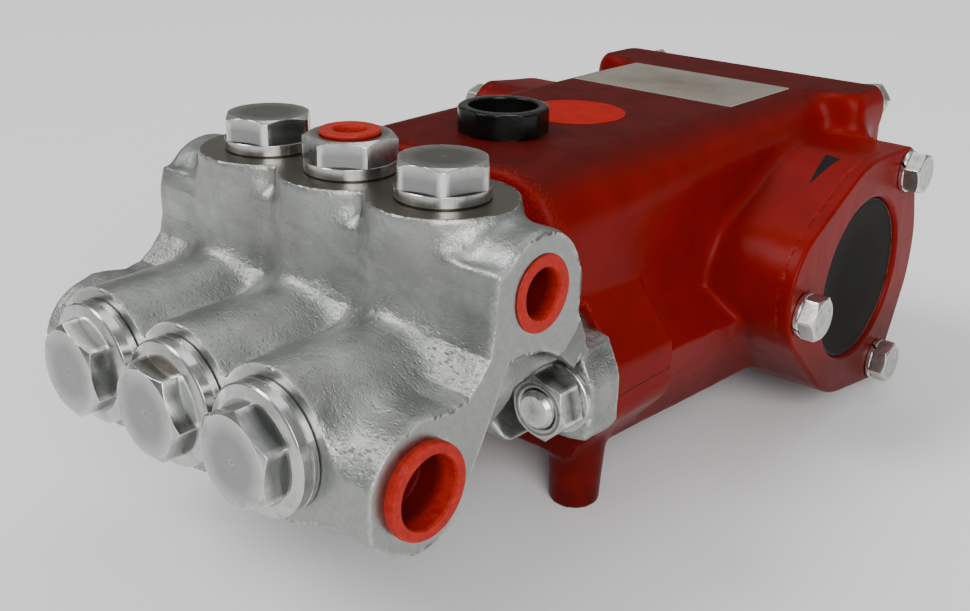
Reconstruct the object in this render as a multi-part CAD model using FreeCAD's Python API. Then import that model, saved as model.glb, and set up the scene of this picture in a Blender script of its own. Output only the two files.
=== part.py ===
import FreeCAD, Part
import os, math

os.makedirs("parts", exist_ok=True)

# ---------------------------------------------------------------- dimensions
# millimetres.  Working axes: X across the pump (+X is the side with the two
# open ports seen in the picture), Y along the pump from the hexagon plugs to
# the rear cover, Z up.  Working origin: centre plug axis, hexagon face.
# Everything is moved at the end so that the origin is the middle of the four
# foot screws on the base plane.
FOOT_Y1, FOOT_Y2 = 174.0, 368.0     # foot axes along the pump
FOOT_X = 57.0                       # foot axes across the pump
BASE_Z = -88.0                      # underside of the feet

# fluid end
PITCH = 47.7                        # between two plungers
HEX = 32.0                          # across flats of the valve plugs
PLUG_FACE_R = 15.9                  # chamfer circle of a plug hexagon
SUC_HEX_H = 8.4
SUC_FL_R, SUC_FL_H = 23.4, 7.8      # round flange of the suction plugs
SUC_SEAT_Y = 17.0                   # machined front face of the barrels
BARREL_R = 27.75
TOP_Y = 97.7                        # discharge valve axes
TOP_Z = 66.3                        # machined top face
TOP_HEX_H, TOP_COL_R, TOP_COL_H = 9.6, 17.8, 4.8
CAS_X = 93.0                        # half length of the casing
OUT_Y, OUT_Z, OUT_R = 98.6, 41.2, 21.4     # discharge gallery
IN_Y, IN_Z, IN_R = 39.5, -8.6, 22.5        # suction gallery
OUT_PORT_R = 13.2                   # G 3/4 thread, plain bore
IN_PORT_R = 16.6                    # G 1 thread, plain bore
TOP_PORT_R = 8.3                    # G 3/8 thread, plain bore
PORT_DEPTH = 18.0
PLATE_Y0, PLATE_Y1 = 141.0, 160.0   # rear flange of the casing
EAR_X = 86.0
STUD_X, STUD_Z, STUD_R = 72.0, -21.0, 8.0
STUD_Y0, STUD_Y1 = 123.0, 178.0
NUT_AF, NUT_H = 24.0, 13.0
POCKET_R, POCKET_Y0 = 20.0, 104.0     # tool room in front of each nut
WASHER_R, WASHER_T = 14.5, 2.5

# power end
CR_Y0, CR_Y1 = 160.0, 402.0
TOP_PLANE = 65.5
SHOULDER_R = 25.0
HOOD_Y0, HOOD_Z0 = 140.5, 10.0       # the top of the crankcase reaches over the casing's foot
BODY_X = 66.0
BOT_Z = -62.5
PAD_X, PAD_Y1, PAD_Z0, PAD_Z1 = 85.0, 201.3, -36.5, -12.5
SHAFT_Y, SHAFT_Z = 332.5, -15.0
BOSS_X = 104.0
COVER_T = 6.0
COVER_HOLE_R = 41.0
# screws of the bearing covers: right side, shaft side
BOLTS = {1: ((371.1, 32.2), (270.3, -14.6), (365.0, -68.9)),
         -1: tuple((SHAFT_Y + 61.5 * math.cos(math.radians(a)), SHAFT_Z + 61.5 * math.sin(math.radians(a))) for a in (116.0, 0.0, 240.0))}
# outline of each housing: round part (y, z, r) and the rounds that are joined to it by tangents
OUTLINE = {1: ((336.5, -15.0, 60.3), ((371.1, 32.2, 12.1), (289.5, -8.0, 33.2), (365.0, -68.9, 12.0))),
           -1: ((SHAFT_Y, SHAFT_Z, 66.5), tuple((y, z, r) for (y, z), r in zip(BOLTS[-1], (14.0, 15.0, 15.0))))}
BOLT_AF, BOLT_H, BOLT_R = 19.0, 7.8, 6.0
LOCKW_R, LOCKW_T = 10.3, 2.5
REAR_AF, REAR_H, REAR_BR, REAR_WR = 17.0, 6.4, 5.0, 9.0
FL_X, FL_Y0 = 81.0, 368.0           # rear flange
FL_Z0, FL_Z1 = -70.0, 65.5
FL_R = 8.0
REAR_T = 8.0
SHAFT_R, SHAFT_LEN, KEY_W, KEY_D, KEY_LEN = 17.5, 66.0, 10.0, 5.0, 50.0
SHAFT_R2, SHAFT_STEP = 20.0, 4.0    # seal diameter and how far it stands out
SEAL_R = 33.0
FOOT_R1, FOOT_R2 = 12.4, 11.0       # foot at the body, foot at the base
FOOT_HOLE_R, FOOT_HOLE_D = 5.0, 20.0
FILL_Y, FILL_AF, FILL_H, FILL_BORE = 187.0, 37.6, 11.7, 15.0
FILL_R = 19.9                         # corners are turned off
LABEL_X, LABEL_Y0, LABEL_Y1 = 47.5, 300.0, 360.0
DISC_Y, DISC_R = 238.0, 24.0

V = FreeCAD.Vector
SHIFT = V(0, -(FOOT_Y1 + FOOT_Y2) / 2.0, -BASE_Z)


def cyl(r, h, p, d):
    return Part.makeCylinder(r, h, V(*p), V(*d))


def box(x0, x1, y0, y1, z0, z1):
    return Part.makeBox(x1 - x0, y1 - y0, z1 - z0, V(x0, y0, z0))


def fuse(shapes):
    s = shapes[0].multiFuse(shapes[1:]) if len(shapes) > 1 else shapes[0]
    return s.removeSplitter()


def prism_x(pts, x0, x1):
    w = Part.makePolygon([V(x0, y, z) for y, z in pts] + [V(x0, pts[0][0], pts[0][1])])
    return Part.Face(w).extrude(V(x1 - x0, 0, 0))


def prism_y(pts, y0, y1):
    w = Part.makePolygon([V(x, y0, z) for x, z in pts] + [V(pts[0][0], y0, pts[0][1])])
    return Part.Face(w).extrude(V(0, y1 - y0, 0))


def hexagon(af, h, p, d, turn=0.0, face_r=None, both=False):
    """Hexagonal prism from p along d; far end (and near end) chamfered."""
    R = af / math.sqrt(3.0)
    pts = [V(R * math.cos(math.radians(60 * i + turn)), R * math.sin(math.radians(60 * i + turn)), 0) for i in range(7)]
    pr = Part.Face(Part.makePolygon(pts)).extrude(V(0, 0, h))
    if face_r:
        k = math.tan(math.radians(30.0))
        c = Part.makeCone(face_r + h / k, face_r, h, V(0, 0, 0), V(0, 0, 1)) if not both else None
        if both:
            m = h / 2.0
            c = Part.makeCone(face_r + m / k, face_r, m, V(0, 0, m), V(0, 0, 1)).fuse(
                Part.makeCone(face_r, face_r + m / k, m, V(0, 0, 0), V(0, 0, 1)))
        pr = pr.common(c)
    pr.Placement = FreeCAD.Placement(V(*p), FreeCAD.Rotation(V(0, 0, 1), V(*d)))
    return pr


def fillet_edges(shape, r, test):
    es = []
    for e in shape.Edges:
        try:
            m = e.valueAt((e.FirstParameter + e.LastParameter) / 2.0)
        except Exception:
            continue
        if test(e, m):
            es.append(e)
    if not es:
        return shape
    try:
        f = shape.makeFillet(r, es)
        if f.isValid() and len(f.Solids) == 1:
            return f
    except Exception:
        pass
    return shape


out = {}


def put(name, shape):
    s = shape.copy()
    if s.ShapeType == "Compound" and len(s.Solids) == 1:
        s = s.Solids[0]
    s.translate(SHIFT)
    out[name] = s


# ------------------------------------------------------------- valve casing
end_pts = [(77.5, 52.0), (75.6, 45.0), (75.2, 33.0), (73.2, 25.0), (68.1, 18.8), (62.0, 14.2), (54.0, 12.6),
           (39.5, 13.2), (19.6, -19.3), (39.5, -30.4), (54.3, -24.3), (60.3, -15.7), (67.2, -5.8), (72.5, 3.0),
           (78.8, 16.8), (80.8, 20.6), (90.7, 22.9), (102.3, 22.6), (119.3, 25.4), (119.3, 42.0)]
web = prism_x(end_pts, -CAS_X, CAS_X)
parts = [web,
         cyl(OUT_R, 2 * CAS_X, (-CAS_X, OUT_Y, OUT_Z), (1, 0, 0)),
         cyl(IN_R, 2 * CAS_X, (-CAS_X, IN_Y, IN_Z), (1, 0, 0))]
for i in (-1, 0, 1):
    parts.append(cyl(BARREL_R, PLATE_Y0 - SUC_SEAT_Y + 5, (i * PITCH, SUC_SEAT_Y, 0), (0, 1, 0)))
    parts.append(cyl(BARREL_R, TOP_Z, (i * PITCH, TOP_Y, 0), (0, 0, 1)))
# infill between neighbouring barrels and columns
parts.append(box(-PITCH, PITCH, SUC_SEAT_Y, PLATE_Y0, -14.0, 14.0))
parts.append(box(-PITCH, PITCH, TOP_Y - 14.0, TOP_Y + 26.0, 0, TOP_Z))
parts.append(box(-62.0, 62.0, 122.0, PLATE_Y0, -38.5, 0.0))
parts.append(box(-54.0, 54.0, 108.0, HOOD_Y0, -14.0, 34.0))
# rear flange with the two stud ears
half = [(62.0, HOOD_Z0), (63.0, 8.0), (71.0, 0.5), (79.5, -1.0), (EAR_X - 2, -9.5), (EAR_X, -14.5), (EAR_X, -34.0), (EAR_X - 2, -36.8),
        (77.0, -38.5), (62.0, -40.5)]
pl = half + [(-x, z) for x, z in reversed(half)]
parts.append(prism_y(pl, PLATE_Y0, PLATE_Y1))
# ribs from the discharge gallery down to the ears
for s in (-1, 1):
    rib = prism_x([(100.0, 30.0), (119.4, 25.4), (125.5, 17.8), (150.0, 0.0), (150.0, -14.0), (141.0, -8.0), (111.5, 12.5), (107.8, 17.0), (100.0, 22.0)],
                  0, 9.0)
    rib.translate(V(CAS_X - 13.0 if s > 0 else -CAS_X + 4.0, 0, 0))
    parts.append(rib)
casing = fuse(parts)
# the crankcase hood stands above the foot
casing = casing.cut(box(-72.0, 72.0, HOOD_Y0, PLATE_Y1 + 1.0, HOOD_Z0, 80.0))
# ports
for s in (-1, 1):
    casing = casing.cut(cyl(OUT_PORT_R, PORT_DEPTH, (s * (CAS_X + 0.01), OUT_Y, OUT_Z), (-s, 0, 0)))
    casing = casing.cut(cyl(IN_PORT_R, PORT_DEPTH, (s * (CAS_X + 0.01), IN_Y, IN_Z), (-s, 0, 0)))
    casing = casing.cut(cyl(STUD_R + 0.5, 60, (s * STUD_X, PLATE_Y0 - 20, STUD_Z), (0, 1, 0)))
    # nut pocket: tool space in front of each ear
    casing = casing.cut(cyl(POCKET_R, PLATE_Y0 - POCKET_Y0, (s * STUD_X, POCKET_Y0, STUD_Z), (0, 1, 0)))
# plug threads: each plug has a shank that fills its bore
for i in (-1, 0, 1):
    casing = casing.cut(cyl(18.0, 16.0, (i * PITCH, SUC_SEAT_Y - 0.01, 0), (0, 1, 0)))
    casing = casing.cut(cyl(14.5, 16.0, (i * PITCH, TOP_Y, TOP_Z + 0.01), (0, 0, -1)))
casing = casing.removeSplitter()
if len(casing.Solids) > 1:
    casing = sorted(casing.Solids, key=lambda q: -q.Volume)[0]
put("valve_casing", casing)

# -------------------------------------------------------------------- plugs
for k, i in enumerate((-1, 0, 1)):
    turn = (8.0, 24.0, -6.0)[k]
    h = hexagon(HEX, SUC_HEX_H, (i * PITCH, SUC_HEX_H, 0), (0, -1, 0), turn, PLUG_FACE_R)
    f = cyl(SUC_FL_R, SUC_FL_H, (i * PITCH, SUC_HEX_H - 0.01, 0), (0, 1, 0))
    seat = cyl(20.5, SUC_SEAT_Y - SUC_HEX_H - SUC_FL_H + 0.02, (i * PITCH, SUC_HEX_H + SUC_FL_H - 0.02, 0), (0, 1, 0))
    sh = cyl(18.0, 15.9, (i * PITCH, SUC_SEAT_Y - 0.01, 0), (0, 1, 0))
    put("suction_plug_%d" % (k + 1), fuse([h, f, seat, sh]))

for name, i, turn in (("discharge_plug_1", -1, 16.3), ("discharge_plug_3", 1, 12.9)):
    zb = TOP_Z
    col = cyl(TOP_COL_R, TOP_COL_H, (i * PITCH, TOP_Y, zb), (0, 0, 1))
    h = hexagon(HEX, TOP_HEX_H, (i * PITCH, TOP_Y, zb + TOP_COL_H - 0.01), (0, 0, 1), turn, PLUG_FACE_R)
    sh = cyl(14.5, 15.9, (i * PITCH, TOP_Y, zb + 0.01), (0, 0, -1))
    put(name, fuse([col, h, sh]))

col = cyl(TOP_COL_R, TOP_COL_H, (0, TOP_Y, TOP_Z), (0, 0, 1))
h = hexagon(HEX, TOP_HEX_H, (0, TOP_Y, TOP_Z + TOP_COL_H - 0.01), (0, 0, 1), 36.9, PLUG_FACE_R - 0.4)
sh = cyl(14.5, 15.9, (0, TOP_Y, TOP_Z + 0.01), (0, 0, -1))
ad = fuse([col, h, sh]).cut(cyl(TOP_PORT_R, 16.0, (0, TOP_Y, TOP_Z + TOP_COL_H + TOP_HEX_H + 0.01), (0, 0, -1)))
put("top_port_adaptor", ad)


def cap(r, rim_r, rim_t, deep, bore, p, d):
    """Hollow push-in cap: rim outside, cup inside the port, open outwards."""
    a = cyl(rim_r, rim_t, (0, 0, 0), (0, 0, 1))
    b = cyl(r - 0.1, deep, (0, 0, -deep), (0, 0, 1))
    c = a.fuse(b).cut(cyl(bore, deep + rim_t - 2.0 + 0.1, (0, 0, -deep + 2.0), (0, 0, 1)))
    c = c.removeSplitter()
    c.Placement = FreeCAD.Placement(V(*p), FreeCAD.Rotation(V(0, 0, 1), V(*d)))
    return c


put("outlet_cap_right", cap(OUT_PORT_R, 14.2, 0.9, 15.0, 9.1, (CAS_X, OUT_Y, OUT_Z), (1, 0, 0)))
put("outlet_cap_left", cap(OUT_PORT_R, 14.2, 0.9, 15.0, 9.1, (-CAS_X, OUT_Y, OUT_Z), (-1, 0, 0)))
put("inlet_cap_right", cap(IN_PORT_R, 17.1, 4.2, 14.0, 12.7, (CAS_X, IN_Y, IN_Z), (1, 0, 0)))
put("inlet_cap_left", cap(IN_PORT_R, 17.1, 4.2, 14.0, 12.7, (-CAS_X, IN_Y, IN_Z), (-1, 0, 0)))
put("top_port_cap", cap(TOP_PORT_R, 11.9, 1.6, 9.0, 6.2, (0, TOP_Y, TOP_Z + TOP_COL_H + TOP_HEX_H), (0, 0, 1)))

# ------------------------------------------------------- studs, nuts, washers
for name, s in (("right", 1), ("left", -1)):
    st = cyl(STUD_R, STUD_Y1 - STUD_Y0 - 1.3, (s * STUD_X, STUD_Y0 + 1.3, STUD_Z), (0, 1, 0))
    st = st.fuse(Part.makeCone(6.7, STUD_R, 1.3, V(s * STUD_X, STUD_Y0, STUD_Z), V(0, 1, 0))).removeSplitter()
    put("stud_" + name, st)
    ny = PLATE_Y0 - WASHER_T
    n = hexagon(NUT_AF, NUT_H, (s * STUD_X, ny, STUD_Z), (0, -1, 0), 14.0 if s > 0 else 5.0, 12.0)
    n = n.cut(cyl(STUD_R, NUT_H + 2, (s * STUD_X, ny + 1, STUD_Z), (0, -1, 0)))
    put("stud_nut_" + name, n)
    w = cyl(WASHER_R, WASHER_T, (s * STUD_X, ny, STUD_Z), (0, 1, 0)).cut(
        cyl(STUD_R + 0.3, WASHER_T + 2, (s * STUD_X, ny - 1, STUD_Z), (0, 1, 0)))
    put("stud_washer_" + name, w)


# ---------------------------------------------------------------- crankcase
def wire_at(pts, y):
    return Part.makePolygon([V(x, y, z) for x, z in pts] + [V(pts[0][0], y, pts[0][1])])


def body_wire(y, top, shoulder, ledge_top, ledge_x, ledge_z):
    """Section across the body: flat top, shoulder, wall, sloping ledge, lower wall drawn in to the base."""
    lx = min(63.6 + 0.084 * (y - CR_Y0), 76.0)
    half = [top] + shoulder + [(BODY_X, ledge_top), (ledge_x, ledge_z), (lx, BOT_Z + 2), (lx - 2, BOT_Z)]
    return wire_at(half + [(-x, z) for x, z in reversed(half)], y)


def arc(r, x, z):
    """Points of the rounded shoulder, from the flat top to the wall."""
    return [(x - r + r * math.sin(math.radians(a)), z - r + r * math.cos(math.radians(a))) for a in (22.5, 45.0, 67.5, 90.0)]


def sect(y, lt, ex, lz):
    return body_wire(y, (BODY_X - SHOULDER_R, TOP_PLANE), arc(SHOULDER_R, BODY_X, TOP_PLANE), lt, ex, lz)


SECT = [sect(CR_Y0, 2.2, 84.0, -15.9), sect(212.0, -3.6, 84.0, -18.7), sect(300.0, -13.4, 84.0, -23.4), sect(367.0, -19.0, 78.0, -27.0),
        sect(CR_Y1, -19.0, 78.0, -27.0)]
body = Part.makeLoft(SECT, True, True)


def hood_wire(y, inset):
    half = [(BODY_X - SHOULDER_R, TOP_PLANE - inset)] + arc(SHOULDER_R - inset, BODY_X - inset, TOP_PLANE - inset) + [(BODY_X - inset, HOOD_Z0)]
    return wire_at(half + [(-x, z) for x, z in reversed(half)], y)


hood = Part.makeLoft([hood_wire(HOOD_Y0, 3.0), hood_wire(HOOD_Y0 + 3.0, 0.0), hood_wire(CR_Y0 + 5.0, 0.0)], True, True)
parts = [body, hood]
# stud pads
for s in (-1, 1):
    pad = prism_y([(40, 16.0), (BODY_X - 2.6, 15.4), (PAD_X, PAD_Z1), (PAD_X, PAD_Z0), (PAD_X - 3.0, PAD_Z0 - 3.0), (70.0, -56.0), (40, -56.0)], CR_Y0, PAD_Y1)
    if s < 0:
        pad = pad.mirror(V(0, 0, 0), V(1, 0, 0))
    parts.append(pad)


# bearing housings, three lobes
def lobed(x0, x1):
    (c0, c1, R), lobes = OUTLINE[1 if x1 > 0 else -1]
    ctr = (c0, c1)
    prs = [cyl(R, x1 - x0, (x0,) + ctr, (1, 0, 0))]
    for cy, cz, r in lobes:
        prs.append(cyl(r, x1 - x0, (x0, cy, cz), (1, 0, 0)))
        # tangent flanks from the lobe to the round part
        d = math.hypot(cy - ctr[0], cz - ctr[1])
        a0 = math.atan2(cz - ctr[1], cy - ctr[0])
        beta = math.acos((R - r) / d)
        pts = []
        for sg in (1, -1):
            t = a0 + sg * beta
            pts.append((ctr[0] + R * math.cos(t), ctr[1] + R * math.sin(t)))
            pts.append((cy + r * math.cos(t), cz + r * math.sin(t)))
        poly = [pts[0], pts[1], pts[3], pts[2]]
        prs.append(prism_x(poly, x0, x1))
    return fuse(prs)


parts.append(lobed(0.0, BOSS_X))
parts.append(lobed(-BOSS_X, 0.0))
# rear flange
fl = box(-FL_X, FL_X, FL_Y0, CR_Y1, FL_Z0, FL_Z1)
fl = fillet_edges(fl, FL_R, lambda e, m: abs(m.y - (FL_Y0 + CR_Y1) / 2) < 0.1)
parts.append(fl)
# feet
for fx in (-FOOT_X, FOOT_X):
    for fy in (FOOT_Y1, FOOT_Y2):
        parts.append(Part.makeCone(FOOT_R2, FOOT_R1, BOT_Z - BASE_Z + 6, V(fx, fy, BASE_Z), V(0, 0, 1)))
crank = fuse(parts)
for fx in (-FOOT_X, FOOT_X):
    for fy in (FOOT_Y1, FOOT_Y2):
        crank = crank.cut(cyl(FOOT_HOLE_R, FOOT_HOLE_D, (fx, fy, BASE_Z - 0.01), (0, 0, 1)))
for s in (-1, 1):
    crank = crank.cut(cyl(STUD_R, STUD_Y1 - CR_Y0 + 2, (s * STUD_X, CR_Y0 - 0.01, STUD_Z), (0, 1, 0)))
# seat of the sight glass and bore of the shaft
crank = crank.cut(cyl(COVER_HOLE_R, 8.5, (BOSS_X + 0.01, SHAFT_Y, SHAFT_Z), (-1, 0, 0)))
crank = crank.cut(cyl(SHAFT_R2, 18.0, (-BOSS_X - 0.01, SHAFT_Y, SHAFT_Z), (1, 0, 0)))
for s in (-1, 1):
    for cy, cz in BOLTS[s]:
        crank = crank.cut(cyl(BOLT_R, 22.0, (s * (BOSS_X + 0.01), cy, cz), (-s, 0, 0)))
# rear cover bolt holes
REAR_BOLTS = [(-69.0, 54.5), (69.0, 54.5), (-69.0, -59.0), (69.0, -59.0)]
for bx, bz in REAR_BOLTS:
    crank = crank.cut(cyl(REAR_BR, 20.0, (bx, CR_Y1 + 0.01, bz), (0, -1, 0)))
# filler neck bore, drain bore
crank = crank.cut(cyl(14.0, 14.0, (0, FILL_Y, TOP_PLANE + 0.01), (0, 0, -1)))
# nothing stands behind the joint face of the rear cover
crank = crank.cut(box(-FL_X, FL_X, CR_Y1, CR_Y1 + 20.0, FL_Z0 - 1, FL_Z1 + 1))
crank = crank.removeSplitter()
put("crankcase", crank)


# ------------------------------------------------------- bearing covers etc.
def bolt_holes_x(shape, x0, x1, r):
    for cy, cz in BOLTS[1 if x1 > 0 else -1]:
        shape = shape.cut(cyl(r, x1 - x0, (x0, cy, cz), (1, 0, 0)))
    return shape


cv = lobed(BOSS_X, BOSS_X + COVER_T).cut(cyl(COVER_HOLE_R - 0.5, COVER_T + 2, (BOSS_X - 1, SHAFT_Y, SHAFT_Z), (1, 0, 0)))
cv = bolt_holes_x(cv, BOSS_X - 1, BOSS_X + COVER_T + 1, BOLT_R + 0.5)
put("bearing_cover_right", cv)
cv = lobed(-BOSS_X - COVER_T, -BOSS_X).cut(cyl(SEAL_R, COVER_T + 2, (-BOSS_X - COVER_T - 1, SHAFT_Y, SHAFT_Z), (1, 0, 0)))
cv = bolt_holes_x(cv, -BOSS_X - COVER_T - 1, -BOSS_X + 1, BOLT_R + 0.5)
put("bearing_cover_left", cv)

glass = cyl(COVER_HOLE_R - 0.02, 8.48, (BOSS_X - 8.5, SHAFT_Y, SHAFT_Z), (1, 0, 0))
glass = glass.fuse(cyl(COVER_HOLE_R - 0.7, 5.2, (BOSS_X - 1.0, SHAFT_Y, SHAFT_Z), (1, 0, 0))).removeSplitter()
put("sight_glass", glass)

seal = cyl(SEAL_R, COVER_T - 1.0, (-BOSS_X - COVER_T + 1.0, SHAFT_Y, SHAFT_Z), (1, 0, 0)).cut(
    cyl(SHAFT_R2, COVER_T + 4, (-BOSS_X - COVER_T - 1, SHAFT_Y, SHAFT_Z), (1, 0, 0)))
put("shaft_seal", seal)
sx = -BOSS_X - COVER_T - SHAFT_STEP - SHAFT_LEN
shaft = cyl(SHAFT_R, SHAFT_LEN + 1.0, (sx, SHAFT_Y, SHAFT_Z), (1, 0, 0))
shaft = shaft.fuse(cyl(SHAFT_R2, SHAFT_STEP + COVER_T + 17.0, (sx + SHAFT_LEN, SHAFT_Y, SHAFT_Z), (1, 0, 0)))
kx0 = sx + 5.0
key = box(kx0 + KEY_W / 2, kx0 + KEY_LEN - KEY_W / 2, SHAFT_Y - KEY_W / 2, SHAFT_Y + KEY_W / 2, SHAFT_Z + SHAFT_R - KEY_D, SHAFT_Z + SHAFT_R + 5)
key = key.fuse(cyl(KEY_W / 2, KEY_D + 5, (kx0 + KEY_W / 2, SHAFT_Y, SHAFT_Z + SHAFT_R - KEY_D), (0, 0, 1)))
key = key.fuse(cyl(KEY_W / 2, KEY_D + 5, (kx0 + KEY_LEN - KEY_W / 2, SHAFT_Y, SHAFT_Z + SHAFT_R - KEY_D), (0, 0, 1)))
put("drive_shaft", shaft.cut(key).removeSplitter())

for side, s in (("right", 1), ("left", -1)):
    for k, (cy, cz) in enumerate(BOLTS[s]):
        x = s * (BOSS_X + COVER_T)
        w = cyl(LOCKW_R, LOCKW_T, (x, cy, cz), (s, 0, 0))
        hd = hexagon(BOLT_AF, BOLT_H, (x + s * (LOCKW_T - 0.01), cy, cz), (s, 0, 0), 12.0 + 17 * k, 9.0)
        sk = cyl(BOLT_R, COVER_T + 20.0, (x + s * 0.01, cy, cz), (-s, 0, 0))
        put("bearing_bolt_%s_%d" % (side, k + 1), fuse([w, hd, sk]))

# --------------------------------------------------------------- rear cover
rc = box(-FL_X + 3.0, FL_X - 3.0, CR_Y1, CR_Y1 + REAR_T, FL_Z0 + 2.5, FL_Z1 - 2.0)
rc = fillet_edges(rc, FL_R, lambda e, m: abs(m.y - (CR_Y1 + REAR_T / 2)) < 0.1)
for bx, bz in REAR_BOLTS:
    rc = rc.cut(cyl(REAR_BR + 0.5, REAR_T + 2, (bx, CR_Y1 - 1, bz), (0, 1, 0)))
put("rear_cover", rc)
for k, (bx, bz) in enumerate(REAR_BOLTS):
    hd = hexagon(REAR_AF, REAR_H, (bx, CR_Y1 + REAR_T + LOCKW_T - 0.01, bz), (0, 1, 0), 10.0 + 13 * k, 8.1)
    w = cyl(REAR_WR, LOCKW_T, (bx, CR_Y1 + REAR_T, bz), (0, 1, 0))
    sk = cyl(REAR_BR, REAR_T + 18.0, (bx, CR_Y1 + REAR_T + 0.01, bz), (0, -1, 0))
    put("rear_cover_bolt_%d" % (k + 1), fuse([w, hd, sk]))

# --------------------------------------------- filler cap, plate, round mark
fc = hexagon(FILL_AF, FILL_H, (0, FILL_Y, TOP_PLANE), (0, 0, 1), 47.0, 18.2).common(cyl(FILL_R, FILL_H, (0, FILL_Y, TOP_PLANE), (0, 0, 1)))
fc = fc.cut(cyl(FILL_BORE, 8.5, (0, FILL_Y, TOP_PLANE + FILL_H - 8.5 + 0.01), (0, 0, 1)))
fc = fc.fuse(cyl(13.95, 13.0, (0, FILL_Y, TOP_PLANE + 0.01), (0, 0, -1))).removeSplitter()
put("oil_filler_cap", fc)
put("name_plate", box(-LABEL_X, LABEL_X, LABEL_Y0, LABEL_Y1, TOP_PLANE, TOP_PLANE + 0.5))
put("round_sticker", cyl(DISC_R, 0.3, (0, DISC_Y, TOP_PLANE), (0, 0, 1)))

for name, shape in out.items():
    shape.exportStep("parts/%s.step" % name)
    bb = shape.BoundBox
    print("%-24s solids %d valid %s vol %9.0f  [%.1f %.1f] [%.1f %.1f] [%.1f %.1f]" % (
        name, len(shape.Solids), shape.isValid(), shape.Volume, bb.XMin, bb.XMax, bb.YMin, bb.YMax, bb.ZMin, bb.ZMax))
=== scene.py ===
import math
import bpy
import bmesh
import numpy as np
from mathutils import Vector, Matrix


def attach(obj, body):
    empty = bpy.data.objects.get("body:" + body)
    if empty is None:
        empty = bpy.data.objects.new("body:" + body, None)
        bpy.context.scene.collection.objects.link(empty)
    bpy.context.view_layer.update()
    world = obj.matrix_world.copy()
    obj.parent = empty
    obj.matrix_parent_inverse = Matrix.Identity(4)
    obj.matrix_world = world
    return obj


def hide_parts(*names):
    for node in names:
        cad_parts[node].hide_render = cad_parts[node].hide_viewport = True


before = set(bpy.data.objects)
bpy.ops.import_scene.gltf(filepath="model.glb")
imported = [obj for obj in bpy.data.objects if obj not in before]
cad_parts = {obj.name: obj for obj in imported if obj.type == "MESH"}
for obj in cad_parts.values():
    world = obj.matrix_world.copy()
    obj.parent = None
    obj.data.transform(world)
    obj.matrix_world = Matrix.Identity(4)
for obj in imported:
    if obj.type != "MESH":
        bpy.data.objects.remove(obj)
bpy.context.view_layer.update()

# Working axes in millimetres are those of the part's source: X across, Y from the
# hexagon faces to the rear cover, Z from the plug axes.  OFF takes them to the frame.
OFF = np.array([0.0, -271.0, 88.0])
PITCH = 47.7
HEX = 32.0
TOP_Y, TOP_Z = 97.7, 66.3
CAS_X = 93.0
OUT_Y, OUT_Z = 98.6, 41.2
IN_Y, IN_Z = 39.5, -8.6
STUD_X, STUD_Z = 72.0, -21.0
PLATE_Y0, PLATE_Y1 = 141.0, 160.0
CR_Y0, CR_Y1 = 160.0, 402.0
TOP_PLANE = 65.5
SHAFT_Y, SHAFT_Z = 332.5, -15.0
BOSS_X = 104.0
BOLTS = {1: ((371.1, 32.2), (270.3, -14.6), (365.0, -68.9)),
         -1: tuple((SHAFT_Y + 61.5 * math.cos(math.radians(a)), SHAFT_Z + 61.5 * math.sin(math.radians(a))) for a in (116.0, 0.0, 240.0))}
# outline of each housing: round part (y, z, r) and the rounds joined to it by tangents
OUTLINE = {1: ((336.5, -15.0, 60.3), ((371.1, 32.2, 12.1), (289.5, -8.0, 33.2), (365.0, -68.9, 12.0))),
           -1: ((SHAFT_Y, SHAFT_Z, 66.5), tuple((y, z, r) for (y, z), r in zip(BOLTS[-1], (14.0, 15.0, 15.0))))}
FOOT_Y = (174.0, 368.0)
FOOT_X = 57.0
REAR_BOLTS = [(-69.0, 54.5), (69.0, 54.5), (-69.0, -59.0), (69.0, -59.0)]
FILL_Y = 187.0
# rotation mark on the right housing: three corners as x and angle about the shaft
ARROW = ((86.5, 95.3), (94.8, 97.2), (90.8, 121.2))


# ------------------------------------------------------- distance field helpers
def smin(a, b, k):
    h = np.clip(0.5 + 0.5 * (b - a) / k, 0.0, 1.0)
    return b + (a - b) * h - k * h * (1.0 - h)


def smax(a, b, k):
    return -smin(-a, -b, k)


def cap2(d, e):
    return np.minimum(np.maximum(d, e), 0.0) + np.hypot(np.maximum(d, 0.0), np.maximum(e, 0.0))


def cyl_x(P, y, z, r, x0, x1):
    X, Y, Z = P
    return cap2(np.hypot(Y - y, Z - z) - r, np.maximum(x0 - X, X - x1))


def cyl_y(P, x, z, r, y0, y1):
    X, Y, Z = P
    return cap2(np.hypot(X - x, Z - z) - r, np.maximum(y0 - Y, Y - y1))


def cyl_z(P, x, y, r, z0, z1):
    X, Y, Z = P
    return cap2(np.hypot(X - x, Y - y) - r, np.maximum(z0 - Z, Z - z1))


def rbox(P, x0, x1, y0, y1, z0, z1, r=0.0):
    X, Y, Z = P
    a = np.abs(X - (x0 + x1) / 2) - (x1 - x0) / 2 + r
    b = np.abs(Y - (y0 + y1) / 2) - (y1 - y0) / 2 + r
    c = np.abs(Z - (z0 + z1) / 2) - (z1 - z0) / 2 + r
    out = np.sqrt(np.maximum(a, 0) ** 2 + np.maximum(b, 0) ** 2 + np.maximum(c, 0) ** 2)
    return out + np.minimum(np.maximum(a, np.maximum(b, c)), 0.0) - r


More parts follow.
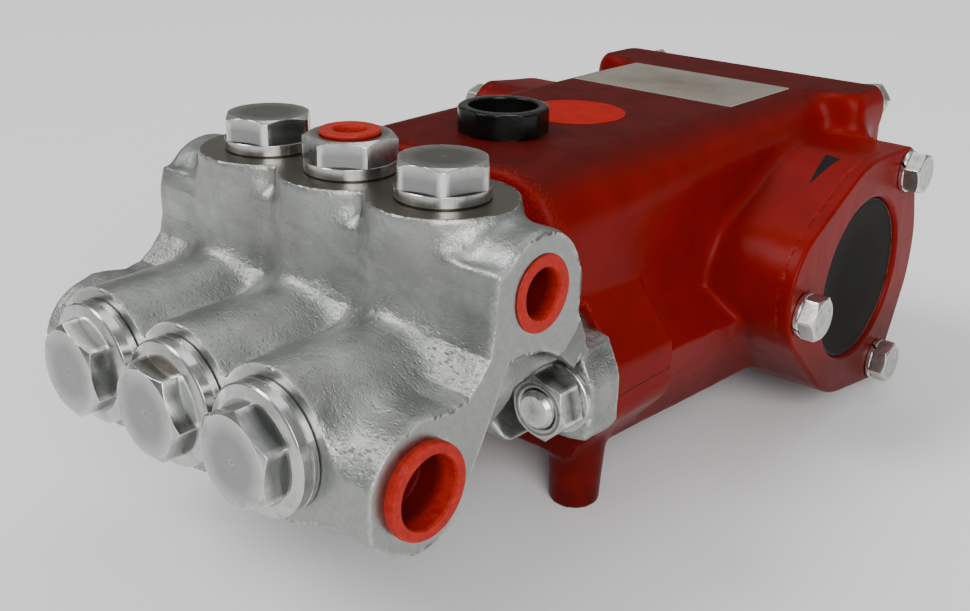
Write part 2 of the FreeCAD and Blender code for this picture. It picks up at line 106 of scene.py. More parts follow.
def poly2(U, W, pts):
    """Signed distance to a closed polygon in a plane."""
    d = s = None
    for i in range(len(pts)):
        ax, ay = pts[i]
        bx, by = pts[i - 1]
        ex, ey = bx - ax, by - ay
        wx, wy = U - ax, W - ay
        t = np.clip((wx * ex + wy * ey) / (ex * ex + ey * ey), 0, 1)
        dd = (wx - ex * t) ** 2 + (wy - ey * t) ** 2
        c1, c2, c3 = W >= ay, W < by, ex * wy > ey * wx
        flip = (c1 & c2 & c3) | (~c1 & ~c2 & ~c3)
        if d is None:
            d, s = dd, np.where(flip, -1.0, 1.0)
        else:
            d, s = np.minimum(d, dd), np.where(flip, -s, s)
    return s * np.sqrt(d)


def rod(P, a, b, ra, rb):
    """Capsule with two radii."""
    X, Y, Z = P
    a, b = np.array(a, float), np.array(b, float)
    ba = b - a
    px, py, pz = X - a[0], Y - a[1], Z - a[2]
    t = np.clip((px * ba[0] + py * ba[1] + pz * ba[2]) / ba.dot(ba), 0, 1)
    return np.sqrt((px - ba[0] * t) ** 2 + (py - ba[1] * t) ** 2 + (pz - ba[2] * t) ** 2) - (ra + (rb - ra) * t)


def waves(P, size, seed, n=7):
    """Smooth irregular undulation between about -1 and 1, with that wavelength in mm."""
    X, Y, Z = P
    rng = np.random.RandomState(seed)
    out = 0.0
    for _ in range(n):
        v = rng.normal(size=3)
        v *= 2 * math.pi / size / np.linalg.norm(v) * rng.uniform(0.6, 1.5)
        out = out + np.sin(v[0] * X + v[1] * Y + v[2] * Z + rng.uniform(0, 6.28))
    return out / math.sqrt(n)


# ----------------------------------------------------------------- contouring
def gradient(fn, p, e=0.02):
    N = np.zeros_like(p)
    for s in ((1, -1, -1), (-1, -1, 1), (-1, 1, -1), (1, 1, 1)):
        g = fn((p[:, 0] + e * s[0], p[:, 1] + e * s[1], p[:, 2] + e * s[2]))
        N += g[:, None] * np.array(s, float)
    return N / (np.linalg.norm(N, axis=1)[:, None] + 1e-30)


def contour(fn, lo, hi, h):
    """Closed quad mesh of fn = 0 that keeps its sharp edges (dual contouring)."""
    ax = [np.arange(l, u + h, h) for l, u in zip(lo, hi)]
    nx, ny, nz = [len(a) for a in ax]
    F = np.empty((nx, ny, nz))
    for i in range(0, nx, 24):
        F[i:i + 24] = fn((ax[0][i:i + 24][:, None, None], ax[1][None, :, None], ax[2][None, None, :]))
    F[np.abs(F) < 1e-9] = 1e-9
    S = F < 0
    o = np.array([a[0] for a in ax])
    dims = (nx, ny, nz)
    pts, cells = [], []
    for axis in range(3):
        sl0, sl1 = [slice(None)] * 3, [slice(None)] * 3
        sl0[axis], sl1[axis] = slice(0, -1), slice(1, None)
        idx = np.argwhere(S[tuple(sl0)] != S[tuple(sl1)])
        u, v = [q for q in range(3) if q != axis]
        idx = idx[(idx[:, u] > 0) & (idx[:, v] > 0) & (idx[:, u] < dims[u] - 1) & (idx[:, v] < dims[v] - 1)]
        f0 = F[tuple(sl0)][tuple(idx.T)]
        f1 = F[tuple(sl1)][tuple(idx.T)]
        t0, t1, g0, g1 = np.zeros(len(idx)), np.ones(len(idx)), f0.copy(), f1.copy()
        p = o + idx * h
        for _ in range(3):
            t = t0 + (t1 - t0) * g0 / (g0 - g1)
            q = p.copy()
            q[:, axis] += t * h
            g = fn((q[:, 0], q[:, 1], q[:, 2]))
            same = (g < 0) == (g0 < 0)
            t0, g0 = np.where(same, t, t0), np.where(same, g, g0)
            t1, g1 = np.where(same, t1, t), np.where(same, g1, g)
        t = t0 + (t1 - t0) * g0 / (g0 - g1 + 1e-30)
        q = p.copy()
        q[:, axis] += t * h
        pts.append(q)
        c = []
        for du, dv in ((0, 0), (1, 0), (1, 1), (0, 1)):
            ii = idx.copy()
            ii[:, u] -= du
            ii[:, v] -= dv
            c.append((ii[:, 0] * (ny - 1) + ii[:, 1]) * (nz - 1) + ii[:, 2])
        c = np.stack(c, 1)
        fl = (f0 < 0) if axis != 1 else ~(f0 < 0)
        c[~fl] = c[~fl][:, ::-1]
        cells.append(c)
    p, c = np.concatenate(pts), np.concatenate(cells)
    N = gradient(fn, p)
    uc, inv = np.unique(c.ravel(), return_inverse=True)
    inv = inv.reshape(-1)
    n = len(uc)
    four = np.repeat(np.arange(len(p)), 4)
    cnt = np.bincount(inv, minlength=n).astype(float)
    M = np.stack([np.bincount(inv, p[four, i], n) / cnt for i in range(3)], 1)
    pm, Nr = p[four] - M[inv], N[four]
    b = (Nr * pm).sum(1)
    A, B = np.zeros((n, 3, 3)), np.zeros((n, 3))
    for i in range(3):
        B[:, i] = np.bincount(inv, Nr[:, i] * b, n)
        for j in range(i, 3):
            A[:, i, j] = A[:, j, i] = np.bincount(inv, Nr[:, i] * Nr[:, j], n)
    A += 0.03 * np.eye(3)
    X = np.linalg.solve(A, B[..., None])[..., 0]
    ijk = np.stack([uc // ((ny - 1) * (nz - 1)), (uc // (nz - 1)) % (ny - 1), uc % (nz - 1)], 1)
    cc = o + (ijk + 0.5) * h
    V = np.clip(M + X, cc - 0.56 * h, cc + 0.56 * h)
    return V, inv.reshape(-1, 4)


def field_mesh(name, fn, lo, hi, h, sharp=0.80):
    """Blender mesh of a distance field: exact normals, split where the surface has an edge."""
    V, Q = contour(fn, lo, hi, h)
    me = bpy.data.meshes.new(name)
    W = (V + OFF) / 1000.0
    me.vertices.add(len(V))
    me.vertices.foreach_set("co", W.ravel())
    me.loops.add(len(Q) * 4)
    me.loops.foreach_set("vertex_index", Q.ravel())
    me.polygons.add(len(Q))
    me.polygons.foreach_set("loop_start", np.arange(0, len(Q) * 4, 4))
    me.update(calc_edges=True)
    a, b, c, d = [V[Q[:, i]] for i in range(4)]
    fnrm = np.cross(c - a, d - b)
    fnrm /= np.linalg.norm(fnrm, axis=1)[:, None] + 1e-30
    # a vertex is on an edge where its faces turn apart
    mean = np.stack([np.bincount(Q.ravel(), np.repeat(fnrm[:, i], 4), len(V)) for i in range(3)], 1)
    cnt = np.bincount(Q.ravel(), minlength=len(V))
    tight = np.linalg.norm(mean, axis=1) / cnt
    low = np.ones(len(V))
    mu = mean / (np.linalg.norm(mean, axis=1)[:, None] + 1e-30)
    dots = (fnrm[np.repeat(np.arange(len(Q)), 4)] * mu[Q.ravel()]).sum(1)
    np.minimum.at(low, Q.ravel(), dots)
    crisp = low < sharp
    vn = gradient(fn, V)
    ln = vn[Q.ravel()].copy()
    hit = np.flatnonzero(crisp[Q.ravel()])
    cen = (a + b + c + d) / 4
    fi = hit // 4
    pp = V[Q.ravel()[hit]] * 0.45 + cen[fi] * 0.55
    g = gradient(fn, pp)
    # keep only what agrees with the face, else take the face's own normal
    ok = (g * fnrm[fi]).sum(1) > 0.75
    ln[hit] = np.where(ok[:, None], g, fnrm[fi])
    me.normals_split_custom_set(ln)
    edge = me.attributes.new("edge", "FLOAT", "POINT")
    edge.data.foreach_set("value", crisp.astype(np.float32))
    ob = bpy.data.objects.new(name, me)
    bpy.context.scene.collection.objects.link(ob)
    return ob, V, Q, fnrm


# ------------------------------------------------------------- the castings
END = [(77.5, 52.0), (75.8, 45.6), (75.2, 33.4), (73.2, 25.0), (68.1, 18.8), (62.0, 14.2), (54.0, 12.6),
       (39.5, 13.4), (19.6, -19.3), (39.5, -30.4), (46.3, -29.3), (54.3, -24.3), (60.3, -15.7), (67.2, -5.8),
       (72.0, 3.0), (78.8, 16.8), (80.8, 20.6), (90.7, 22.9), (102.3, 22.4), (107.8, 17.6), (111.1, 14.9), (118.5, 21.2),
       (119.8, 28.0), (119.0, 42.0)]
EAR = [(0.0, 24.0), (62.0, 24.0), (64.0, 9.0), (70.0, 3.0), (79.5, 0.7), (84.6, -9.5), (86.0, -14.5),
       (86.0, -33.6), (84.0, -36.8), (77.0, -38.5), (66.0, -39.8), (0.0, -41.0)]
RIB = [(100.0, 34.0), (119.6, 27.0), (126.0, 20.6), (135.3, 11.6), (140.6, 4.9), (151.0, -2.0), (151.0, -14.0), (141.0, -8.0), (111.1, 13.6), (100.0, 20.0)]


def rmax(a, b, r):
    """Intersection with a true round of radius r."""
    return np.minimum(np.maximum(a, b), -r) + np.hypot(np.maximum(a + r, 0.0), np.maximum(b + r, 0.0))


def casing_rough(P):
    """The valve casing as cast, before machining."""
    X, Y, Z = P
    A = np.abs(X)
    bar = smin(np.hypot(A, Z) - 27.8, np.hypot(A - PITCH, Z) - 27.8, 4.0)
    bar = rmax(bar, np.maximum(14.8 - Y, Y - 150.0), 4.0)
    col = smin(np.hypot(A, Y - TOP_Y) - 28.2, np.hypot(A - PITCH, Y - TOP_Y) - 28.2, 6.5)
    col = rmax(col, np.maximum(-Z - 5.0, Z - (TOP_Z + 1.9)), 4.0)
    out = rmax(np.hypot(Y - OUT_Y, Z - OUT_Z) - 22.3, np.maximum(A - 95.0, 58.0 - A), 5.0)
    inl = rmax(np.hypot(Y - IN_Y, Z - IN_Z) - 24.0, A - 95.0, 5.0)
    web = rmax(poly2(Y, Z, END) - 1.6, A - 95.0, 5.0)
    d = smin(bar, col, 11.0)
    d = smin(d, smin(smin(out, inl, 5.0), web, 4.0), 8.0)
    # block behind the columns, thick foot of the flange
    blk = rbox((A, Y, Z), -54.0, 54.0, 104.0, 152.0, -20.0, 36.0, 6.0)
    d = smin(d, blk, 8.0)
    low = rbox((A, Y, Z), -64.0, 64.0, 120.0, 152.0, -38.5, 0.0, 5.0)
    d = smin(d, low, 8.0)
    ear = rmax(poly2(A, Z, EAR), np.abs(Y - 151.5) - 10.5, 1.2)
    d = smin(d, ear, 3.0)
    face = 0.935 * (A - 93.0) + 0.229 * (Y - 118.5) - 0.269 * (Z - 21.2)
    rib = rmax(rmax(poly2(Y, Z, RIB), face, 0.5), 79.0 - A, 3.0)
    d = smin(d, rib, 1.6)
    # tool room in front of the nut
    room = cyl_y((A, Y, Z), STUD_X, STUD_Z, 19.6, 104.0, 141.0)
    cut = smax(d, -room, 2.2)
    d = np.where(Y < 141.0, cut, d)
    fade = np.clip((94.0 - A) / 5.0, 0, 1) * np.clip((Y - 16.0) / 5.0, 0, 1) * np.clip((TOP_Z + 0.5 - Z) / 5.0, 0, 1)
    d = d + (0.16 * waves(P, 26.0, 3) + 0.08 * waves(P, 8.5, 5)) * (0.15 + 0.85 * fade)
    # rough trimmed strip along the front edge of the ear
    trim = (A - 86.0 + 141.0 - Y) * 0.7071 + 1.5 + 0.25 * waves(P, 5.0, 8)
    d = np.where((A > 78.0) & (Y > 136.0) & (Y < 150.0) & (Z < 2.0), smax(d, trim, 0.5), d)
    return d


def casing(P):
    X, Y, Z = P
    A = np.abs(X)
    d = casing_rough(P)
    d = np.maximum(d, Z - TOP_Z)
    d = np.maximum(d, A - CAS_X)
    d = np.maximum(d, 17.0 - Y)
    d = np.maximum(d, Y - PLATE_Y1)
    # the crankcase hood stands above the foot
    d = np.maximum(d, -np.maximum(np.maximum(140.4 - Y, 10.0 - Z), A - 72.0))
    # spot face under the nut washer
    d = np.maximum(d, -cyl_y((A, Y, Z), STUD_X, STUD_Z, 16.7, 120.0, 138.5))
    d = np.maximum(d, -cyl_y((A, Y, Z), STUD_X, STUD_Z, 8.6, 120.0, 170.0))
    # ports with a small lead chamfer, plug bores
    for y, z, r in ((OUT_Y, OUT_Z, 13.2), (IN_Y, IN_Z, 16.6)):
        rr = np.hypot(Y - y, Z - z)
        d = np.maximum(d, -cap2(rr - r, 75.0 - A))
    d = np.maximum(d, -cap2(np.minimum(np.hypot(A, Z), np.hypot(A - PITCH, Z)) - 18.4, Y - 33.4))
    d = np.maximum(d, -cap2(np.minimum(np.hypot(A, Y - TOP_Y), np.hypot(A - PITCH, Y - TOP_Y)) - 15.0, TOP_Z - 16.2 - Z))
    return d


def crank_side(A, Y, Z):
    """Side of the crankcase: flat upper wall, sloping ledge with a crisp edge, lower wall drawn in."""
    zu = np.clip(-3.6 - 0.112 * (Y - 212.4), -19.0, 3.0)
    ex = np.clip(84.0 - 0.0896 * (Y - 300.0), 78.0, 84.0)
    ze = np.clip(-18.3 - 0.054 * (Y - 205.4), -27.0, -15.5)
    lx = np.minimum(63.6 + 0.084 * (Y - CR_Y0), 76.0)
    led = ((A - 66.0) * (zu - ze) + (Z - zu) * (ex - 66.0)) / np.hypot(ex - 66.0, zu - ze)
    low = ((A - lx) * (ze + 60.5) - (Z + 60.5) * (ex - lx)) / np.hypot(ex - lx, ze + 60.5)
    low = rmax(led, low, 0.8)
    up = np.maximum(A - 66.0, zu - 2.0 - Z)
    return smin(up, low, 1.6)


def boss2(Y, Z, side):
    """Outline of a bearing housing: round part and the lobes joined to it."""
    (c0, c1, R), lobes = OUTLINE[side]
    u0, w0 = Y - c0, Z - c1
    d = np.hypot(u0, w0) - R
    for ly, lz, r in lobes:
        py, pz = ly - c0, lz - c1
        L = math.hypot(py, pz)
        ca, sa = py / L, pz / L
        u = u0 * ca + w0 * sa
        w = np.abs(-u0 * sa + w0 * ca)
        # convex hull of the two circles
        sn = (R - r) / L
        cs = math.sqrt(1 - sn * sn)
        k = -sn * w + cs * u
        # distance to the tangent flank, valid between the two touch points
        flank = sn * u + cs * w - R
        tip = np.hypot(u - L, w) - r
        hull = np.where(k < 0, np.hypot(u, w) - R, np.where(k > cs * L, tip, flank))
        d = np.minimum(d, hull)
    return d


def crank(P):
    X, Y, Z = P
    A = np.abs(X)
    t = Y - CR_Y0
    side = crank_side(A, Y, Z)
    # wide shoulder, a little tighter towards the rear
    q = np.clip(27.5 - 0.044 * (Y - 157.0), 20.0, 28.0)
    hood = rmax(side, Z - TOP_PLANE, q)
    # the top reaches over the foot of the valve casing
    front = np.maximum(rmax(hood, 140.5 - Y, 4.6), 10.1 - Z)
    d = np.minimum(front, rmax(hood, CR_Y0 - Y, 1.0))
    d = rmax(d, -62.5 - Z, 2.5)
    d = np.maximum(d, Y - CR_Y1)
    # stud pads
    z1, z2 = 14.6 - 0.112 * t, -11.6 - 0.034 * t
    slope = ((A - 66.0) * (z1 - z2) + (Z - z1) * 19.0) / np.hypot(z1 - z2, 19.0)
    pad = rmax(slope, A - 85.0, 1.3)
    pad = rmax(pad, ((A - 85.0) * 0.707 - (Z + 36.8 + 0.07 * t) * 0.707), 2.5)
    pad = rmax(pad, 0.809 * (A - 82.0) - 0.588 * (Z + 39.5), 3.0)
    pad = np.maximum(pad, 60.0 - A)
    pad = rmax(pad, np.maximum(Y - 201.3, CR_Y0 - Y), 1.1)
    d = smin(d, pad, 1.8)
    # bearing housings with their drawn-in root
    for s in (1, -1):
        b = boss2(Y, Z, s)
        b = b - 0.010 * (BOSS_X - s * X)
        b = rmax(b, s * X - BOSS_X, 0.45)
        b = np.maximum(b, -s * X - 2.0)
        d = smin(d, b, 5.5)
    # rear flange with its corner lugs
    fl = rmax(rbox((X, Y, Z), -81.0, 81.0, 320.0, 440.0, -70.0, 65.5, 8.5), np.maximum(372.0 - Y, Y - CR_Y1), 5.0)
    d = smin(d, fl, 13.0)
    for bx, bz in REAR_BOLTS:
        lug = rmax(np.hypot(X - bx, Z - bz) - 10.3, np.maximum(370.0 - Y, Y - CR_Y1), 4.5)
        d = smin(d, lug, 11.0)
    # feet
    for fy in FOOT_Y:
        rr = np.hypot(A - FOOT_X, Y - fy)
        ft = rmax(rr - (11.0 + 1.5 * np.clip((Z + 88.0) / 26.0, 0, 1.2)), np.maximum(-88.0 - Z, Z + 50.0), 1.6)
        d = smin(d, ft, 4.0)
    calm = np.clip((TOP_PLANE - 1.0 - Z) / 6.0, 0, 1)
    d = d + (0.10 * waves(P, 34.0, 11) + 0.03 * waves(P, 12.0, 13)) * (0.1 + 0.9 * calm)
    d = np.maximum(d, Z - TOP_PLANE)
    d = np.maximum(d, -88.0 - Z)
    d = np.maximum(d, Y - CR_Y1)
    d = np.maximum(d, np.where(Z > 10.1, 140.5, CR_Y0) - Y)
    d = np.maximum(d, A - BOSS_X)
    for fy in FOOT_Y:
        rr = np.hypot(A - FOOT_X, Y - fy)
        d = np.maximum(d, -cap2(rr - 5.0, Z + 70.0))
    # seats of the covers
    rb = np.hypot(Y - SHAFT_Y, Z - SHAFT_Z)
    d = np.maximum(d, -np.where(X > 0, cap2(rb - 41.1, 95.4 - X), cap2(rb - 20.3, X + 86.6)))
    d = np.maximum(d, -cap2(np.hypot(X, Y - FILL_Y) - 14.6, 55.0 - Z))
    return d




# ---------------------------------------------------------- turned and hex parts
def frame_of(origin, direction, turn=0.0):
    """Local axes: w along direction, u and v across it, turned by so many degrees."""
    w = np.array(direction, float)
    w /= np.linalg.norm(w)
    ref = np.array((0.0, 0.0, 1.0)) if abs(w[2]) < 0.9 else np.array((1.0, 0.0, 0.0))
    u = np.cross(ref, w)
    u /= np.linalg.norm(u)
    v = np.cross(w, u)
    t = math.radians(turn)
    return np.array(origin, float), u * math.cos(t) + v * math.sin(t), v * math.cos(t) - u * math.sin(t), w


def rounded(pts):
    """Polyline of (r, h, corner radius) to (r, h, edge flag) with each corner rounded."""
    out = []
    for i, q in enumerate(pts):
        rad = q[2] if len(q) > 2 else 0.0
        if rad <= 0 or i in (0, len(pts) - 1):
            out.append((q[0], q[1], 0.0))
            continue
        p, a, b = np.array(q[:2], float), np.array(pts[i - 1][:2], float), np.array(pts[i + 1][:2], float)
        da, db = a - p, b - p
        la, lb = np.linalg.norm(da), np.linalg.norm(db)
        da, db = da / la, db / lb
        ang = math.acos(max(-1.0, min(1.0, float(da.dot(db)))))
        cut = min(rad / math.tan(ang / 2), la * 0.45, lb * 0.45)
        k = 4 if rad > 0.6 else 3
        s0, s1 = p + da * cut, p + db * cut
        for j in range(k + 1):
            t = j / k
            # quadratic blend is close enough to an arc at this size
            c = s0 * (1 - t) ** 2 + p * 2 * t * (1 - t) + s1 * t ** 2
            out.append((c[0], c[1], 1.0 if 0 < j < k else 0.6))
    return out


def shell(rings, flags, axr, axz, cap0=True, cap1=True, loop=True):
    """Vertices and faces of stacked rings; ends closed by a fan when asked."""
    n = len(rings[0])
    V = [p for r in rings for p in r]
    E = [f for fl in flags for f in (fl if np.ndim(fl) else [fl] * n)]
    R = [a for ar in axr for a in (ar if np.ndim(ar) else [ar] * n)]
    Z = [a for az in axz for a in (az if np.ndim(az) else [az] * n)]
    F = []
    m = n if loop else n - 1
    for i in range(len(rings) - 1):
        for j in range(m):
            k = (j + 1) % n
            F.append((i * n + j, i * n + k, (i + 1) * n + k, (i + 1) * n + j))
    for end, on in ((0, cap0), (len(rings) - 1, cap1)):
        if on:
            c = len(V)
            V.append(np.mean(rings[end], axis=0))
            E.append(0.0)
            R.append(0.0)
            Z.append(float(np.mean(axz[end])))
            for j in range(n):
                k = (j + 1) % n
                F.append((end * n + k, end * n + j, c) if end == 0 else (end * n + j, end * n + k, c))
    return V, F, E, R, Z


def build(name, shells, sharp=32.0):
    """One object from closed shells, with area weighted normals and its attributes."""
    V, F, E, R, Z = [], [], [], [], []
    for v, f, e, r, z in shells:
        o = len(V)
        V += list(v)
        F += [tuple(i + o for i in q) for q in f]
        E += list(e)
        R += list(r)
        Z += list(z)
    V = np.array(V, float)
    me = bpy.data.meshes.new(name)
    W = (V + OFF) / 1000.0
    me.from_pydata([tuple(p) for p in W], [], F)
    me.update(calc_edges=True)
    for nm, arr in (("edge", E), ("axr", R), ("axz", Z)):
        at = me.attributes.new(nm, "FLOAT", "POINT")
        at.data.foreach_set("value", np.array(arr, np.float32))
    me.polygons.foreach_set("use_smooth", [True] * len(me.polygons))
    # area weighted normals, averaged only over faces that turn less than `sharp`
    fn = np.zeros((len(F), 3))
    for i, f in enumerate(F):
        a, b, c = V[f[0]], V[f[1]], V[f[2]]
        nn = np.cross(c - a, V[f[3]] - b) if len(f) == 4 else np.cross(b - a, c - a)
        fn[i] = nn
    area = np.linalg.norm(fn, axis=1) + 1e-12
    un = fn / area[:, None]
    lv = np.array([i for f in F for i in f])
    lf = np.array([k for k, f in enumerate(F) for _ in f])
    order = np.argsort(lv, kind="stable")
    starts = np.searchsorted(lv[order], np.arange(len(V) + 1))
    ln = np.zeros((len(lv), 3))
    cs = math.cos(math.radians(sharp))
    for vtx in range(len(V)):
        ls = order[starts[vtx]:starts[vtx + 1]]
        fs = lf[ls]
        D = un[fs] @ un[fs].T
        M = (D > cs) * area[fs][None, :]
        s = M @ un[fs]
        ln[ls] = s / (np.linalg.norm(s, axis=1)[:, None] + 1e-12)
    me.normals_split_custom_set(ln)
    ob = bpy.data.objects.new(name, me)
    bpy.context.scene.collection.objects.link(ob)
    return ob


def lathe(fr, prof, n=96, cap0=True, cap1=True, wob=0.0):
    """Rings of a turned profile, from its first point to its last."""
    o, u, v, w = fr
    th = np.arange(n) * 2 * math.pi / n
    rings, fl, ar, az = [], [], [], []
    for k, (r, h, e) in enumerate(prof):
        rr = r + wob * np.sin(3 * th + h) * 0.5 + wob * np.sin(5 * th + 1.3) * 0.5
        rings.append([o + u * a + v * b + w * h for a, b in zip(rr * np.cos(th), rr * np.sin(th))])
        fl.append(e)
        ar.append(r)
        az.append(h)
    return shell(rings, fl, ar, az, cap0, cap1)


def torus_like(fr, prof, n=96):
    """A closed profile turned round the axis (a ring with a hole)."""
    V, F, E, R, Z = lathe(fr, prof, n, False, False)
    k = len(prof)
    for j in range(n):
        F.append(((k - 1) * n + j, (k - 1) * n + (j + 1) % n, (j + 1) % n, j))
    return V, F, E, R, Z


def hex_outline(af, rc=0.5, mc=3, mf=9, turned=0.0):
    """Points of a hexagon with rounded corners and a flag for the corner points."""
    pts, fl = [], []
    cd = (af / 2 - rc) / math.cos(math.radians(30))
    corner = []
    for k in range(6):
        ph = 60 * k + 30
        c = (cd * math.cos(math.radians(ph)), cd * math.sin(math.radians(ph)))
        arc = []
        for j in range(mc + 1):
            a = math.radians(ph - 30 + 60 * j / mc)
            q = (c[0] + rc * math.cos(a), c[1] + rc * math.sin(a))
            if turned:
                half = 30.0 - math.degrees(math.acos(af / 2 / turned))
                a = math.radians(ph - half + 2 * half * j / mc)
                q = (turned * math.cos(a), turned * math.sin(a))
            arc.append(q)
        corner.append(arc)
    for k in range(6):
        for j, p in enumerate(corner[k]):
            pts.append(p)
            fl.append(1.0)
        a, b = corner[k][-1], corner[(k + 1) % 6][0]
        for j in range(1, mf):
            t = j / mf
            pts.append((a[0] * (1 - t) + b[0] * t, a[1] * (1 - t) + b[1] * t))
            fl.append(0.0)
    return np.array(pts), np.array(fl)


def hex_part(fr, af, h0, h1, r0, below, above, rc=0.5, bev=0.22, low_arc=0.0, angle=30.0, through=False, turned=0.0):
    """Turned part with a hexagon between h0 and h1.  below/above: (r, h, flag) rings.
    r0 is the circle where the end chamfer starts; low_arc chamfers the lower end too."""
    o, u, v, w = fr
    P, cf = hex_outline(af, rc, turned=turned)
    rho = np.hypot(P[:, 0], P[:, 1])
    th = np.arctan2(P[:, 1], P[:, 0])
    ta = math.tan(math.radians(angle))
    rings, fl, ar, az = [], [], [], []

    def ring(rad, h, e, flat=False):
        rad = np.broadcast_to(np.asarray(rad, float), rho.shape)
        h = np.broadcast_to(np.asarray(h, float), rho.shape)
        e = np.broadcast_to(np.asarray(e, float), rho.shape)
        rings.append([o + u * r * math.cos(t) + v * r * math.sin(t) + w * z for r, t, z in zip(rad, th, h)])
        fl.append(e)
        # the milled flats carry one value, so that turning marks stay off them
        ar.append(np.full(rho.shape, af / 2) if flat else rad)
        az.append(np.full(rho.shape, (h0 + h1) / 2) if flat else h)

    for r, h, e in below:
        ring(r, h, e)
    lo = np.maximum(rho - (af / 2 - low_arc), 0) * ta if low_arc > 0 else np.zeros_like(rho)
    if low_arc > 0:
        ring(af / 2 - low_arc, h0, 0.5)
        ring(rho - bev * 0.6, h0 + lo - bev * 0.3, 1.0)
        ring(rho, h0 + lo + bev * 0.7, np.maximum(cf, 0.6), True)
    else:
        ring(rho, h0, cf, True)
    top = h1 - np.maximum(rho - r0, 0) * ta
    mid = (h0 + lo + top) / 2
    ring(rho, mid, cf, True)
    ring(rho, top - bev, np.maximum(cf, 0.6), True)
    ring(rho - bev * 0.25, top - bev * 0.25, 1.0, True)
    ring(rho - bev * 0.8, np.minimum(top + bev * 0.8 * ta, h1 - 0.02), 0.6)
    rin = np.minimum(rho - bev, r0)
    ring(r0 + 0.12, h1 - 0.07, 0.6)
    ring(r0 - 0.10, h1 - 0.015, 1.0)
    ring(r0 - 0.35, h1, 0.5)
    for r, h, e in above:
        ring(r, h, e)
    if not through:
        return shell(rings, fl, ar, az)
    # a bored part: the last ring joins the first
    V, F, E, R, Z = shell(rings, fl, ar, az, False, False)
    n, k = len(rho), len(rings) - 1
    F += [(k * n + j, k * n + (j + 1) % n, (j + 1) % n, j) for j in range(n)]
    return V, F, E, R, Z


def box_bar(c, ax_u, ax_v, ax_w, lu, lv, lw):
    """Small bar with tapered top, closed: centre of its base c, half sizes lu, lv, height lw."""
    V = []
    for z, k in ((-0.1, 1.0), (lw * 0.7, 0.92), (lw, 0.62)):
        for a, b in ((-1, -1), (1, -1), (1, 1), (-1, 1)):
            V.append(c + ax_u * (a * (lu - lv * (1 - k))) + ax_v * (b * lv * k) + ax_w * z)
    F = [(3, 2, 1, 0), (8, 9, 10, 11)]
    for i in (0, 4):
        for j in range(4):
            k = (j + 1) % 4
            F.append((i + j, i + k, i + 4 + k, i + 4 + j))
    return V, F, [0.0] * 8 + [0.8] * 4, [5.0] * 12, [0.0] * 12


def split_washer(fr, ri, ro, t, slit_at, n=72):
    """Spring washer: square section, cut once on a slant, one end lifted a little."""
    o, u, v, w = fr
    b = 0.35
    sec = [(ri, b), (ri + b, 0), (ro - b, 0), (ro, b), (ro, t - b), (ro - b, t), (ri + b, t), (ri, t - b)]
    half = math.degrees(0.75 / ro)
    rings, fl, ar, az = [], [], [], []
    for i in range(n + 1):
        f = i / n
        a0 = slit_at + half + (360 - 2 * half) * f
        ring = []
        for r, h in sec:
            a = math.radians(a0 + (h / t - 0.5) * 11.0)
            hh = h + (0.25 * max(0.0, (f - 0.88) / 0.12) if h > t / 2 else 0.0)
            ring.append(o + u * r * math.cos(a) + v * r * math.sin(a) + w * hh)
        rings.append(ring)
        fl.append(1.0 if i in (0, n) else [0.5, 0.5, 0.5, 1, 1, 1, 1, 0.5])
        ar.append([q[0] for q in sec])
        az.append([q[1] for q in sec])
    V, F, E, R, Z = shell(rings, fl, ar, az)
    # the end caps and sides wind the other way round a section ring
    F = [tuple(reversed(q)) for q in F]
    return V, F, E, R, Z


def put(ob, node, mat):
    ob.data.materials.clear()
    ob.data.materials.append(mat)
    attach(ob, "root")
    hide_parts(node)
    return ob


def suction_plug(k, i):
    fr = frame_of((i * PITCH, 17.0, 0.0), (0, -1, 0), (8.0, 24.0, -6.0)[k])
    low = rounded([(0, -15.9), (17.9, -15.9, 0.8), (17.9, -0.1), (22.9, 0.05), (23.38, 0.5, 0.25), (23.38, 2.55, 0.15), (22.95, 2.75, 0.1), (22.95, 3.0, 0.1),
                   (23.38, 3.2, 0.15), (23.38, 6.9, 0.3), (22.75, 7.5, 0.25), (19.6, 8.5, 0.2), (18.6, 8.6, 0.1), (18.3, 8.62)])[1:]
    up = [(9.0, 17.0, 0), (1.5, 17.0, 0), (0.9, 16.85, 0.3), (0.3, 16.62, 0)]
    return build("suction_plug_%d_body" % (k + 1), [hex_part(fr, 32.0, 8.62, 17.0, 15.9, low, up, 0.45, 0.2)], 25.0)


def top_plug(name, i, turn, bore=0.0):
    fr = frame_of((i * PITCH, TOP_Y, TOP_Z), (0, 0, 1), turn)
    low = rounded([(0, -15.9), (14.4, -15.9, 0.8), (14.4, -0.05), (16.9, 0.0), (17.0, 0.3, 0.2), (17.78, 0.55, 0.25), (17.78, 4.5, 0.2),
                   (17.55, 4.78), (17.3, 4.8)])[1:]
    if bore:
        r1 = bore + 0.9
        up = [(12.0, 14.4, 0), (r1 + 0.1, 14.4, 0.6), (r1 - 0.1, 14.35, 1.0), (bore + 0.05, 13.5, 0.6), (bore, 13.3, 0), (bore, 0.5, 0), (bore - 3, -1.0, 0)]
        return build(name, [hex_part(fr, 32.0, 4.8, 14.4, 15.5, low, up, 0.45, 0.2)], 25.0)
    up = [(9.0, 14.4, 0), (1.4, 14.4, 0), (0.9, 14.28, 0.3), (0.3, 14.1, 0)]
    return build(name, [hex_part(fr, 32.0, 4.8, 14.4, 15.9, low, up, 0.45, 0.2, turned=17.95)], 25.0)


